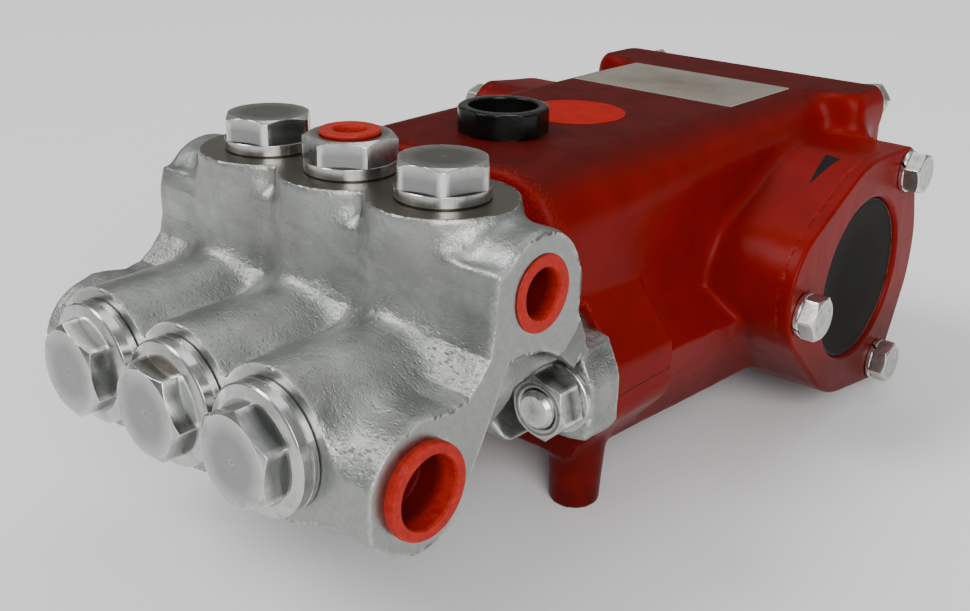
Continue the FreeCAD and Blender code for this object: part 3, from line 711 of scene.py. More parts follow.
def plug_cap(name, origin, direction, rad, rim_r, rim_t, deep, bore):
    """Hollow push-in cap, open outwards, with soft moulded edges."""
    fr = frame_of(origin, direction)
    prof = rounded([(0, -deep), (rad - 0.4, -deep, 1.0), (rad - 0.15, -0.05), (rim_r - 0.25, 0.0, 0.25), (rim_r, rim_t * 0.5, 0.3 * min(rim_t, 1.5)),
                    (rim_r - 0.35, rim_t, 0.45 * min(rim_t, 1.2)), (bore + 0.55, rim_t - 0.05, 0.5), (bore, rim_t - 1.3, 0.5), (bore - 0.45, -deep + 1.6, 0.9),
                    (0.6, -deep + 1.4), (0.3, -deep + 1.4)])[1:]
    return build(name, [lathe(fr, prof, 96, True, True, 0.10)], 40.0)


def stud_nut(s):
    fr = frame_of((s * STUD_X, 138.5, STUD_Z), (0, -1, 0), 14.0 if s > 0 else 5.0)
    low = [(8.1, 1.2, 0.0), (8.2, 0.6, 0.5), (9.1, 0.0, 0.6)]
    up = [(10.4, 13.0, 0.0), (9.25, 13.0, 0.5), (9.05, 12.93, 1.0), (8.2, 12.1, 0.4), (8.1, 11.7, 0)]
    o = hex_part(fr, 24.0, 0.0, 13.0, 11.55, low, up, 0.45, 0.25, 0.45, 30.0, True)
    return build("stud_nut_%s_body" % ("right" if s > 0 else "left"), [o])


def stud_washer(s):
    fr = frame_of((s * STUD_X, 141.0, STUD_Z), (0, -1, 0))
    prof = rounded([(8.4, 0.0), (8.4, 0.02), (14.3, 0.0, 0.3), (14.5, 0.4, 0.3), (14.5, 2.1, 0.35), (14.1, 2.5, 0.3), (8.6, 2.5, 0.3), (8.4, 2.2)])[1:]
    return build("stud_washer_%s_body" % ("right" if s > 0 else "left"), [torus_like(fr, prof)])


def stud(s):
    fr = frame_of((s * STUD_X, 178.0, STUD_Z), (0, -1, 0))
    pts = [(0, 0), (7.3, 0, 0.5), (7.9, 1.0)]
    h = 1.0
    while h < 30.0:
        pts += [(7.9, h), (7.15, h + 1.0), (7.9, h + 2.0)]
        h += 2.0
    pts += [(7.85, 34.0, 0.2), (7.85, 40.0, 0.2)]
    h = 40.6
    while h < 52.4:
        pts += [(7.9, h, 0.1), (7.2, h + 0.9), (7.9, h + 1.8, 0.1)]
        h += 2.0
    pts += [(7.7, 53.2, 0.3), (6.5, 55.0, 0.5), (0.4, 55.0), (0.2, 55.0)]
    prof = rounded(pts)[1:]
    return build("stud_%s_body" % ("right" if s > 0 else "left"), [lathe(fr, prof, 64)])


def screw(name, origin, direction, turn, slit, under=26.0, af=17.0, head=6.4, wr=9.0, wt=2.5, marks=0):
    """Hexagon screw with its spring washer, shank in the hole."""
    fr = frame_of(origin, direction, turn)
    o, u, v, w = fr
    k = af / 17.0
    sh = 5.9 if af > 18.0 else 4.9
    fl = 7.9 * k
    low = rounded([(0, -under), (sh - 0.7, -under, 0.4), (sh, -under + 0.9, 0.3), (sh, wt - 0.05), (fl - 0.6, wt - 0.02, 0.2), (fl, wt + 0.15, 0.15), (fl, wt + 0.45)])[1:]
    up = [(6.6 * k, wt + head, 0), (4.6 * k, wt + head - 0.02, 0.2), (4.2 * k, wt + head - 0.16, 0.3), (2.0, wt + head - 0.18, 0), (0.3, wt + head - 0.18, 0)]
    parts = [hex_part(fr, af, wt + 0.45, wt + head, af / 2 - 0.45, low, up, 0.4, 0.18, 0.0)]
    parts.append(split_washer(frame_of(origin, direction, 0.0), sh + 0.4, wr, wt, slit))
    rng = np.random.RandomState(marks + 5)
    # a few plain raised strokes on the head
    base = rng.uniform(0, 360)
    for j in range(3 + marks % 2):
        a = math.radians(base + j * (96 + rng.uniform(-14, 14)))
        d = u * math.cos(a) + v * math.sin(a)
        e = v * math.cos(a) - u * math.sin(a)
        c = o + d * (rng.uniform(4.9, 5.7) * k) + w * (wt + head)
        parts.append(box_bar(c, d, e, w, rng.uniform(0.75, 1.1) * k, 0.24, 0.22))
    return build(name, parts)


def filler_cap():
    """Nearly round hexagon with its corners turned off and a deep recess."""
    def fn(P):
        X, Y, Z = P
        rr = np.hypot(X, Y - FILL_Y)
        d = -1e9
        for k in range(3):
            a = math.radians(47.0 + 30.0 + 60.0 * k)
            d = np.maximum(d, np.abs(X * math.cos(a) + (Y - FILL_Y) * math.sin(a)) - 18.8)
        top = TOP_PLANE + 11.7
        d = rmax(d, rr - 19.8, 0.4)
        d = rmax(d, Z - top, 0.5)
        # chamfer that leaves an arc on each flat and a wedge on each corner
        d = rmax(d, (rr - 18.5) * 0.5 + (Z - top) * 0.866, 0.35)
        d = rmax(d, np.maximum(TOP_PLANE + 0.02 - Z, (rr - 19.4) * 0.707 - (Z - TOP_PLANE - 0.5) * 0.707), 0.3)
        # recess with a rounded lip, slight taper and a raised ring on its floor
        over = np.clip(Z - (top - 0.9), 0.0, 0.9)
        bore = 14.9 + 0.03 * (Z - TOP_PLANE - 5.0) + 0.9 - np.sqrt(0.81 - over * over)
        ground = TOP_PLANE + 3.2 + 0.5 * (np.abs(rr - 7.0) < 0.8)
        d = np.maximum(d, -np.maximum(rr - bore, ground - Z))
        neck = cap2(rr - 13.9, np.maximum(TOP_PLANE - 12.9 - Z, Z - TOP_PLANE - 1.0))
        return np.minimum(d, neck)
    return fn


def plate_mesh(name, x0, x1, y0, y1, z0, z1, r=0.8, seg=4, lift=0.0, n=14):
    """Thin plate with rounded corners and a softly broken top edge."""
    pts = []
    for cx, cy, a0 in ((x1 - r, y1 - r, 0), (x0 + r, y1 - r, 90), (x0 + r, y0 + r, 180), (x1 - r, y0 + r, 270)):
        for j in range(seg + 1):
            a = math.radians(a0 + 90 * j / seg)
            pts.append((cx + r * math.cos(a), cy + r * math.sin(a)))
    P = np.array(pts)
    c = P.mean(0)
    rings, fl = [], []
    for k, z, e in ((1.0, z0, 0.0), (1.0, z1 - 0.12, 0.6), (0.9985, z1 - 0.02, 1.0), (0.996, z1, 0.3)):
        q = c + (P - c) * k
        rings.append([np.array((a, b, z)) for a, b in q])
        fl.append(e)
    V, F, E, R, Z = shell(rings, fl, [10.0] * 4, [0.0] * 4)
    return build(name, [(V, F, E, R, Z)])


# ------------------------------------------------------- covers, seal and shaft
def cover_fn(side):
    hole = 40.5 if side > 0 else 33.05
    lip = 2.6 if side > 0 else 1.0

    def fn(P):
        X, Y, Z = P
        S = side * X
        o2 = boss2(Y, Z, side)
        rb = np.hypot(Y - SHAFT_Y, Z - SHAFT_Z)
        d = rmax(o2, S - (BOSS_X + 6.0), 1.7)
        d = rmax(d, BOSS_X + 0.02 - S, 0.4)
        # rounded lip of the hole
        q = np.maximum(hole + lip - rb, 0.0)
        e = np.maximum(S - (BOSS_X + 6.0 - lip), 0.0)
        lipd = np.hypot(q, e) - lip
        ring = np.where((rb < hole + lip) & (S > BOSS_X + 6.0 - lip), lipd, hole - rb)
        d = np.maximum(d, ring)
        for cy, cz in BOLTS[side]:
            rr = np.hypot(Y - cy, Z - cz)
            d = np.maximum(d, 6.4 - rr)
            d = np.maximum(d, -cap2(rr - 11.1, BOSS_X + 5.8 - S))
        return d + 0.05 * waves(P, 22.0, 31 + side)
    return fn


def rear_fn(P):
    X, Y, Z = P
    d = smax(rbox((X, Y, Z), -78.0, 78.0, 300.0, 500.0, -67.5, 63.5, 8.0), Y - (CR_Y1 + 8.0), 2.4)
    d = np.maximum(d, CR_Y1 + 0.02 - Y)
    # shallow panel with a raised rim
    pan = rbox((X, Y, Z), -56.0, 56.0, CR_Y1 + 6.4, 480.0, -48.0, 44.0, 10.0)
    d = smax(d, -pan, 1.6)
    for bx, bz in REAR_BOLTS:
        rr = np.hypot(X - bx, Z - bz)
        d = np.maximum(d, 5.4 - rr)
        d = np.maximum(d, -cap2(rr - 9.7, CR_Y1 + 7.75 - Y))
    return d + 0.05 * waves(P, 24.0, 41)


def shaft_fn(P):
    X, Y, Z = P
    rr = np.hypot(Y - SHAFT_Y, Z - SHAFT_Z)
    x0 = -180.0
    a = smax(rr - 17.5, np.maximum(x0 - X, X + 100.0), 1.6)
    b = smax(rr - 19.98, np.maximum(x0 + 66.0 - X, X + 87.0), 1.0)
    d = np.minimum(a, b)
    key = cap2(np.hypot(np.maximum(np.abs(X - (x0 + 5.0 + 25.0)) - 20.0, 0.0), Y - SHAFT_Y) - 5.0, SHAFT_Z + 12.5 - Z)
    d = np.maximum(d, -key)
    # centre hole in the end face
    d = np.maximum(d, -((np.hypot(Y - SHAFT_Y, Z - SHAFT_Z) - 4.5) * 0.866 + (X - x0) * 0.5))
    return d


def seal_ring():
    fr = frame_of((-104.0, SHAFT_Y, SHAFT_Z), (-1, 0, 0))
    prof = rounded([(20.05, 0.2), (20.05, 0.3), (32.9, 0.2, 0.3), (32.98, 0.6, 0.2), (32.98, 4.6, 0.4), (31.6, 4.95, 0.4), (30.4, 4.2, 0.4), (27.0, 4.2, 0.4), (26.0, 4.8, 0.4),
                    (24.2, 4.9, 0.5), (22.0, 3.1, 0.5), (20.3, 2.6, 0.3), (20.05, 2.0)])[1:]
    return build("shaft_seal_body", [torus_like(fr, prof, 120)], 40.0)


def glass_disc():
    fr = frame_of((95.5, SHAFT_Y, SHAFT_Z), (1, 0, 0))
    prof = rounded([(0, 0), (40.9, 0.0, 0.4), (40.9, 8.3, 0.2), (40.25, 8.45), (40.25, 12.1, 0.35), (39.7, 12.5, 0.3), (38.9, 12.3, 0.25), (38.2, 12.5, 0.3), (20.0, 12.6), (0.3, 12.6)])[1:]
    return build("sight_glass_body", [lathe(fr, prof, 144)], 40.0)


# -------------------------------------------------------------------- materials
class Net:
    """Short hand for a material's nodes.  Positions are in mm of the object."""

    def __init__(self, name):
        self.m = bpy.data.materials.new(name)
        self.m.use_nodes = True
        self.t = self.m.node_tree
        self.b = self.t.nodes["Principled BSDF"]
        tc = self.t.nodes.new("ShaderNodeTexCoord")
        sc = self.t.nodes.new("ShaderNodeVectorMath")
        sc.operation = "SCALE"
        sc.inputs["Scale"].default_value = 1000.0
        self.t.links.new(tc.outputs["Object"], sc.inputs[0])
        self.mm = sc.outputs[0]
        sep = self.t.nodes.new("ShaderNodeSeparateXYZ")
        self.t.links.new(self.mm, sep.inputs[0])
        self.x, self.y, self.z = sep.outputs
        self.nrm = None

    def link(self, a, sock):
        if isinstance(a, (int, float)):
            sock.default_value = a
        elif isinstance(a, tuple):
            sock.default_value = a if len(a) == len(sock.default_value) else tuple(a) + (1.0,)
        else:
            self.t.links.new(a, sock)

    def math(self, op, a, b=0.0, c=None, clamp=False):
        n = self.t.nodes.new("ShaderNodeMath")
        n.operation = op
        n.use_clamp = clamp
        self.link(a, n.inputs[0])
        self.link(b, n.inputs[1])
        if c is not None:
            self.link(c, n.inputs[2])
        return n.outputs[0]

    def add(self, a, b): return self.math("ADD", a, b)
    def sub(self, a, b): return self.math("SUBTRACT", a, b)
    def mul(self, a, b): return self.math("MULTIPLY", a, b)
    def abs(self, a): return self.math("ABSOLUTE", a)
    def gt(self, a, b): return self.math("GREATER_THAN", a, b)
    def lt(self, a, b): return self.math("LESS_THAN", a, b)

    def step(self, v, lo, hi, a=0.0, b=1.0):
        """Smooth change from a at lo to b at hi."""
        n = self.t.nodes.new("ShaderNodeMapRange")
        n.interpolation_type = "SMOOTHSTEP"
        self.link(v, n.inputs["Value"])
        for k, q in (("From Min", lo), ("From Max", hi), ("To Min", a), ("To Max", b)):
            n.inputs[k].default_value = q
        return n.outputs["Result"]

    def vec(self, sx=1.0, sy=1.0, sz=1.0, off=(0, 0, 0)):
        n = self.t.nodes.new("ShaderNodeMapping")
        self.link(self.mm, n.inputs["Vector"])
        n.inputs["Location"].default_value = off
        n.inputs["Scale"].default_value = (sx, sy, sz)
        return n.outputs[0]

    def noise(self, size, detail=3.0, rough=0.5, vec=None, dist=0.0):
        """Noise about 0.5 with features of that size in mm."""
        n = self.t.nodes.new("ShaderNodeTexNoise")
        self.link(vec if vec is not None else self.mm, n.inputs["Vector"])
        n.inputs["Scale"].default_value = 1.0 / size
        n.inputs["Detail"].default_value = detail
        n.inputs["Roughness"].default_value = rough
        n.inputs["Distortion"].default_value = dist
        return n.outputs[0]

    def noise1(self, w, size, detail=2.0):
        n = self.t.nodes.new("ShaderNodeTexNoise")
        n.noise_dimensions = "1D"
        self.link(w, n.inputs["W"])
        n.inputs["Scale"].default_value = 1.0 / size
        n.inputs["Detail"].default_value = detail
        return n.outputs[0]

    def cells(self, size, vec=None, feature="F1", rand=1.0):
        n = self.t.nodes.new("ShaderNodeTexVoronoi")
        n.feature = feature
        self.link(vec if vec is not None else self.mm, n.inputs["Vector"])
        n.inputs["Scale"].default_value = 1.0 / size
        n.inputs["Randomness"].default_value = rand
        return n.outputs["Distance"]

    def attr(self, name):
        n = self.t.nodes.new("ShaderNodeAttribute")
        n.attribute_name = name
        return n.outputs["Fac"]

    def mix(self, f, a, b):
        n = self.t.nodes.new("ShaderNodeMix")
        n.data_type = "RGBA"
        self.link(f, n.inputs[0])
        self.link(a, n.inputs[6])
        self.link(b, n.inputs[7])
        return n.outputs[2]

    def mixf(self, f, a, b):
        n = self.t.nodes.new("ShaderNodeMix")
        self.link(f, n.inputs[0])
        self.link(a, n.inputs[2])
        self.link(b, n.inputs[3])
        return n.outputs[0]

    def bump(self, height, mm, strength=1.0):
        """Adds relief; height runs 0 to 1 over so many mm."""
        n = self.t.nodes.new("ShaderNodeBump")
        n.inputs["Strength"].default_value = strength
        n.inputs["Distance"].default_value = mm / 1000.0
        self.link(height, n.inputs["Height"])
        if self.nrm is not None:
            self.t.links.new(self.nrm, n.inputs["Normal"])
        self.nrm = n.outputs[0]

    def done(self, color, rough, metal=0.0, **kw):
        self.link(color, self.b.inputs["Base Color"])
        self.link(rough, self.b.inputs["Roughness"])
        self.link(metal, self.b.inputs["Metallic"])
        if self.nrm is not None:
            self.t.links.new(self.nrm, self.b.inputs["Normal"])
        for k, v in kw.items():
            self.b.inputs[k].default_value = v
        return self.m


def mat_cast():
    """Blasted light casting, with its machined faces."""
    n = Net("cast_light")
    mach, edge = n.attr("mach"), n.attr("edge")
    cloud = n.noise(22.0, 4, 0.6)
    fine = n.noise(1.5, 4, 0.65)
    grain = n.noise(0.55, 2, 0.6)
    lump = n.noise(5.5, 3, 0.55)
    base = n.mix(n.step(cloud, 0.35, 0.68), (0.275, 0.288, 0.272), (0.400, 0.415, 0.394))
    base = n.mix(n.step(fine, 0.56, 0.72, 0.0, 0.40), base, (0.27, 0.27, 0.262))
    # pitted skin over the barrels and low on the front
    zone = n.mul(n.step(n.y, -150.0, -185.0), n.step(n.z, 128.0, 108.0))
    zone = n.math("MAXIMUM", zone, n.mul(n.step(n.abs(n.x), 76.0, 84.0), n.step(n.z, 92.0, 80.0)))
    patch = n.step(n.noise(9.0, 3, 0.6), 0.44, 0.60)
    pits = n.step(n.cells(1.45, n.vec(0.42, 1.25, 1.1)), 0.40, 0.18)
    pits = n.mul(n.mul(pits, n.step(n.noise(3.0, 2, 0.5), 0.38, 0.50)), n.mixf(zone, 0.10, n.add(0.35, n.mul(patch, 0.65))))
    base = n.mix(n.mul(pits, 0.62), base, (0.18, 0.18, 0.17))
    # stains round the ports and joints
    stain = n.mul(n.step(n.noise(30.0, 3, 0.6, n.vec(1, 1, 1, (7, 3, 1))), 0.55, 0.70), 0.35)
    base = n.mix(stain, base, (0.33, 0.31, 0.285))
    brush = n.noise(2.6, 4, 0.6)
    mcol = n.mix(n.step(brush, 0.35, 0.65), (0.285, 0.296, 0.279), (0.325, 0.337, 0.317))
    mcol = n.mix(n.step(n.noise(13.0, 3, 0.6), 0.58, 0.74, 0.0, 0.4), mcol, (0.31, 0.30, 0.285))
    # painted shade: the faced top is painted dark and brownish where it faces up
    geo = n.t.nodes.new("ShaderNodeNewGeometry")
    sp = n.t.nodes.new("ShaderNodeSeparateXYZ")
    n.t.links.new(geo.outputs["Normal"], sp.inputs[0])
    up = n.mul(n.step(sp.outputs[2], 0.80, 0.97), mach)
    mcol = n.mix(up, mcol, n.mix(cloud, (0.135, 0.120, 0.098), (0.215, 0.192, 0.158)))
    col = n.mix(mach, base, mcol)
    # painted highlight: thin lighter lines along the crisp edges
    col = n.mix(n.mul(edge, n.step(n.noise(2.8, 2), 0.30, 0.60, 0.25, 0.70)), col, (0.56, 0.565, 0.55))
    r = n.add(n.mul(n.sub(fine, 0.5), 0.22), n.add(0.37, n.mul(n.sub(cloud, 0.5), 0.16)))
    r = n.add(r, n.mul(pits, 0.18))
    r = n.mixf(mach, r, n.add(0.34, n.mul(n.sub(brush, 0.5), 0.14)))
    r = n.mixf(n.mul(edge, 0.5), r, 0.30)
    keep = n.sub(1.0, mach)
    n.bump(n.mul(lump, keep), 0.42)
    n.bump(n.mul(n.add(n.mul(fine, n.mixf(zone, 0.75, 1.5)), n.mul(grain, 0.45)), keep), 0.26)
    n.bump(n.mul(n.sub(1.0, pits), keep), 0.22)
    n.bump(n.mul(brush, mach), 0.006)
    return n.done(col, r, 1.0)


def mat_paint(name, case=False):
    """Semi gloss red on a smooth casting."""
    n = Net(name)
    edge = n.attr("edge")
    cloud = n.noise(40.0, 4, 0.6)
    peel = n.noise(2.0, 2, 0.5)
    fine = n.noise(0.8, 2, 0.5)
    wave = n.noise(10.0, 3, 0.5)
    col = n.mix(n.step(cloud, 0.34, 0.68), (0.140, 0.0030, 0.0021), (0.178, 0.0042, 0.0029))
    col = n.mix(n.step(n.noise(4.5, 3, 0.6), 0.60, 0.74, 0.0, 0.22), col, (0.095, 0.0025, 0.002))
    # painted shade: what faces up is painted dark and brownish and made duller, what is low down is painted dark
    geo = n.t.nodes.new("ShaderNodeNewGeometry")
    sp = n.t.nodes.new("ShaderNodeSeparateXYZ")
    n.t.links.new(geo.outputs["Normal"], sp.inputs[0])
    up = n.mul(n.step(sp.outputs[2], 0.50, 0.985), n.step(n.z, 130.0, 147.0))
    # painted shade on the up-facing faces, broken up by noise
    top_shade = n.mul(up, n.step(n.noise(16.0, 4, 0.65), 0.25, 0.75, 0.70, 0.90))
    col = n.mix(top_shade, col, (0.046, 0.0036, 0.0024))
    speck = n.mul(n.mul(up, up), n.step(n.noise(1.6, 3, 0.6), 0.64, 0.72, 0.0, 0.5))
    col = n.mix(speck, col, (0.045, 0.007, 0.005))
    # painted shade: darker towards the bottom
    low = n.mul(n.step(n.z, 62.0, 30.0), n.step(n.noise(9.0, 4, 0.6), 0.38, 0.64, 0.50, 0.70))
    col = n.mix(low, col, (0.036, 0.003, 0.0025))
    # edges painted lighter red: partly paint wear, partly painted highlight
    wear_and_highlight = n.mul(edge, n.step(n.noise(3.0, 3, 0.6), 0.46, 0.60))
    col = n.mix(n.mul(wear_and_highlight, 0.45), col, (0.30, 0.020, 0.013))
    chip = n.mul(n.mul(edge, n.step(n.noise(1.7, 3, 0.6), 0.60, 0.66)), n.step(n.noise(14.0, 2), 0.52, 0.60))
    col = n.mix(n.mul(chip, 0.8), col, (0.20, 0.12, 0.10))
    r = n.add(0.31, n.mul(n.sub(cloud, 0.5), 0.12))
    r = n.add(r, n.mul(n.sub(fine, 0.5), 0.10))
    r = n.add(r, n.mul(top_shade, 0.26))
    if case:
        # rough cast skin on the front edge that stands over the valve casing, with lighter speckles that are partly
        # painted highlight
        lip = n.mul(n.step(n.y, -121.5, -126.5), n.step(n.z, 98.5, 101.0))
        grit = n.noise(1.15, 3, 0.65)
        col = n.mix(n.mul(lip, n.step(grit, 0.50, 0.62, 0.0, 0.35)), col, (0.24, 0.020, 0.014))
        r = n.add(r, n.mul(lip, 0.10))
        # joint line along the pads of the studs
        seam = n.mul(n.step(n.abs(n.sub(n.z, 63.5)), 0.42, 0.12), n.mul(n.gt(n.abs(n.x), 84.2), n.lt(n.y, -70.2)))
        col = n.mix(n.mul(seam, 0.7), col, (0.030, 0.004, 0.003))
        # plain wedge that shows the sense of rotation
        mask = arrow_mask(n)
        col = n.mix(mask, col, (0.010, 0.009, 0.009))
        r = n.mixf(mask, r, 0.5)
        n.bump(n.mul(grit, lip), 0.16)
        n.bump(n.sub(1.0, seam), 0.25)
    n.bump(wave, 0.22)
    n.bump(peel, 0.035)
    n.bump(fine, 0.010)
    return n.done(col, r, 0.0, **{"Specular IOR Level": 0.055, "Coat Weight": 0.0, "Coat Roughness": 0.22, "Coat IOR": 1.45})


def arrow_mask(n):
    """Triangle on the flank of the housing, from x and the angle round the shaft."""
    yy = n.sub(n.y, SHAFT_Y - 271.0)
    zz = n.sub(n.z, SHAFT_Z + 88.0)
    ang = n.mul(n.math("ARCTAN2", zz, yy), 180.0 / math.pi)
    out = n.gt(n.x, 40.0)
    cx = sum(p[0] for p in ARROW) / 3
    ca = sum(p[1] for p in ARROW) / 3
    for i in range(3):
        (x0, a0), (x1, a1) = ARROW[i], ARROW[(i + 1) % 3]
        nx, na = a1 - a0, -(x1 - x0)
        sg = 1.0 if (cx - x0) * nx + (ca - a0) * na > 0 else -1.0
        side = n.add(n.mul(n.sub(n.x, x0), nx * sg), n.mul(n.sub(ang, a0), na * sg))
        out = n.mul(out, n.gt(side, 0.0))
    return out


def turned(name, dark, light, rough, ring=0.010, tint=(0.28, 0.265, 0.24)):
    """Turned steel: fine rings about each part's own axis, edges painted brighter as a highlight, up-facing faces
    painted darker as shade.
    """
    n = Net(name)
    edge, r_, z_ = n.attr("edge"), n.attr("axr"), n.attr("axz")
    w = n.add(n.mul(r_, 1.0), n.mul(z_, 0.83))
    rings = n.noise1(w, 0.30, 3.0)
    wide = n.noise1(w, 2.4, 2.0)
    cloud = n.noise(7.0, 4, 0.6)
    smear = n.noise(2.2, 3, 0.6, n.vec(0.35, 1.0, 0.35))
    col = n.mix(n.step(n.add(n.mul(rings, 0.8), n.mul(wide, 0.2)), 0.34, 0.66), dark, light)
    col = n.mix(n.step(cloud, 0.54, 0.76, 0.0, 0.45), col, tint)
    # painted shade: up-facing faces painted dark and brownish
    geo = n.t.nodes.new("ShaderNodeNewGeometry")
    sp = n.t.nodes.new("ShaderNodeSeparateXYZ")
    n.t.links.new(geo.outputs["Normal"], sp.inputs[0])
    col = n.mix(n.mul(n.step(sp.outputs[2], 0.90, 0.985), 0.9), col, n.mix(cloud, (0.105, 0.092, 0.074), (0.165, 0.147, 0.120)))
    # painted highlight: lighter edges
    col = n.mix(n.mul(edge, n.step(smear, 0.30, 0.55, 0.45, 1.0)), col, (0.72, 0.725, 0.70))
    r = n.add(rough, n.mul(n.sub(cloud, 0.5), 0.16))
    r = n.add(r, n.mul(n.sub(rings, 0.5), 0.08))
    r = n.add(r, n.mul(n.sub(smear, 0.5), 0.10))
    r = n.mixf(n.mul(edge, 0.7), r, 0.18)
    nick = n.step(n.noise(1.3, 2, 0.5), 0.70, 0.80)
    n.bump(rings, ring)
    n.bump(n.noise(6.0, 2, 0.5), 0.03)
    n.bump(n.sub(1.0, nick), 0.03)
    return n.done(col, r, 1.0)


def mat_zinc(name, dark, light, rough=0.33):
    n = Net(name)
    edge = n.attr("edge")
    cloud = n.noise(5.0, 4, 0.6)
    grain = n.noise(0.5, 3, 0.6)
    dim = n.noise(2.6, 3, 0.6)
    col = n.mix(n.step(cloud, 0.34, 0.68), dark, light)
    col = n.mix(n.step(dim, 0.55, 0.74, 0.0, 0.40), col, (0.42, 0.40, 0.34))
    # painted highlight: lighter edges
    col = n.mix(n.mul(edge, n.step(dim, 0.30, 0.50, 0.5, 1.0)), col, (0.82, 0.82, 0.78))
    r = n.add(rough, n.mul(n.sub(cloud, 0.5), 0.20))
    r = n.add(r, n.mul(n.sub(grain, 0.5), 0.10))
    r = n.mixf(n.mul(edge, 0.6), r, 0.20)
    n.bump(n.noise(3.2, 2, 0.5), 0.07)
    n.bump(grain, 0.014)
    n.bump(n.sub(1.0, n.step(n.noise(1.1, 2, 0.5), 0.66, 0.76)), 0.05)
    return n.done(col, r, 1.0)


def mat_plastic(name, dark, light, rough, edge_highlight_col, sub=0.0, peel=0.02, spec=0.5, deep=None):
    n = Net(name)
    edge = n.attr("edge")
    cloud = n.noise(9.0, 4, 0.6)
    fine = n.noise(0.7, 3, 0.6)
    col = n.mix(n.step(cloud, 0.34, 0.68), dark, light)
    # painted highlight: lighter colour along the edges
    col = n.mix(n.mul(edge, n.step(n.noise(2.0, 3, 0.6), 0.40, 0.60, 0.15, 0.6)), col, edge_highlight_col)
    # painted shade: darker deeper inside the recess of a cap
    if deep:
        col = n.mix(n.step(n.attr("axz"), 0.2, -6.0, 0.0, 0.92), col, deep)
    r = n.add(rough, n.mul(n.sub(cloud, 0.5), 0.16))
    r = n.add(r, n.mul(n.sub(fine, 0.5), 0.10))
    n.bump(n.noise(4.0, 2, 0.5), 0.05)
    n.bump(fine, peel)
    kw = {"Specular IOR Level": spec}
    if sub:
        kw["Subsurface Weight"] = sub
        kw["Subsurface Radius"] = (1.0, 0.12, 0.06)
        kw["Subsurface Scale"] = 0.0016
    return n.done(col, r, 0.0, **kw)


def mat_disc():
    """Dark dull disc whose rim is worn to the metal on one side."""
    n = Net("disc_dark")
    edge, r_ = n.attr("edge"), n.attr("axr")
    cloud = n.noise(9.0, 4, 0.6)
    fine = n.noise(0.7, 3, 0.6)
    col = n.mix(n.step(cloud, 0.34, 0.68), (0.0035, 0.0030, 0.0024), (0.0062, 0.0054, 0.0043))
    # painted highlight: lighter edges
    col = n.mix(n.mul(edge, 0.4), col, (0.04, 0.035, 0.03))
    rim = n.mul(n.step(r_, 39.35, 39.65), n.step(n.noise(5.0, 3, 0.6), 0.34, 0.52))
    rim = n.mul(rim, n.step(n.add(n.y, n.mul(n.z, -0.25)), 55.0, 78.0, 0.12, 1.0))
    col = n.mix(rim, col, (0.26, 0.255, 0.24))
    r = n.add(0.50, n.add(n.mul(n.sub(cloud, 0.5), 0.16), n.mul(n.sub(fine, 0.5), 0.10)))
    r = n.mixf(rim, r, 0.34)
    n.bump(n.noise(4.0, 2, 0.5), 0.05)
    n.bump(fine, 0.012)
    return n.done(col, r, rim, **{"Specular IOR Level": 0.03})


def mat_plate():
    """Bare foil plate: fine brushing, thin printed border line, no text."""
    n = Net("bare_plate")
    cloud = n.noise(14.0, 4, 0.6)
    brush = n.noise(1.0, 3, 0.6, n.vec(0.06, 1.4, 1.0))
    col = n.mix(n.step(cloud, 0.34, 0.68), (0.140, 0.116, 0.086), (0.185, 0.156, 0.120))
    col = n.mix(n.step(brush, 0.45, 0.75, 0.0, 0.30), col, (0.30, 0.26, 0.21))
    # border line 2.2 mm inside the edge, 0.5 mm wide
    ex = n.sub(47.5 - 2.4, n.abs(n.x))
    ey = n.sub(30.0 - 2.4, n.abs(n.sub(n.y, 330.0 - 271.0)))
    dmin = n.math("MINIMUM", ex, ey)
    line = n.lt(n.abs(dmin), 0.28)
    col = n.mix(n.mul(line, n.step(cloud, 0.3, 0.5, 0.45, 0.8)), col, (0.085, 0.07, 0.06))
    col = n.mix(n.step(n.noise(3.0, 3, 0.6), 0.62, 0.72, 0.0, 0.5), col, (0.15, 0.115, 0.09))
    # painted highlight: lighter top edge
    col = n.mix(n.attr("edge"), col, (0.5, 0.46, 0.40))
    r = n.add(0.42, n.mul(n.sub(brush, 0.5), 0.16))
    n.bump(brush, 0.008)
    n.bump(n.noise(9.0, 2, 0.5), 0.06)
    return n.done(col, r, 0.35)


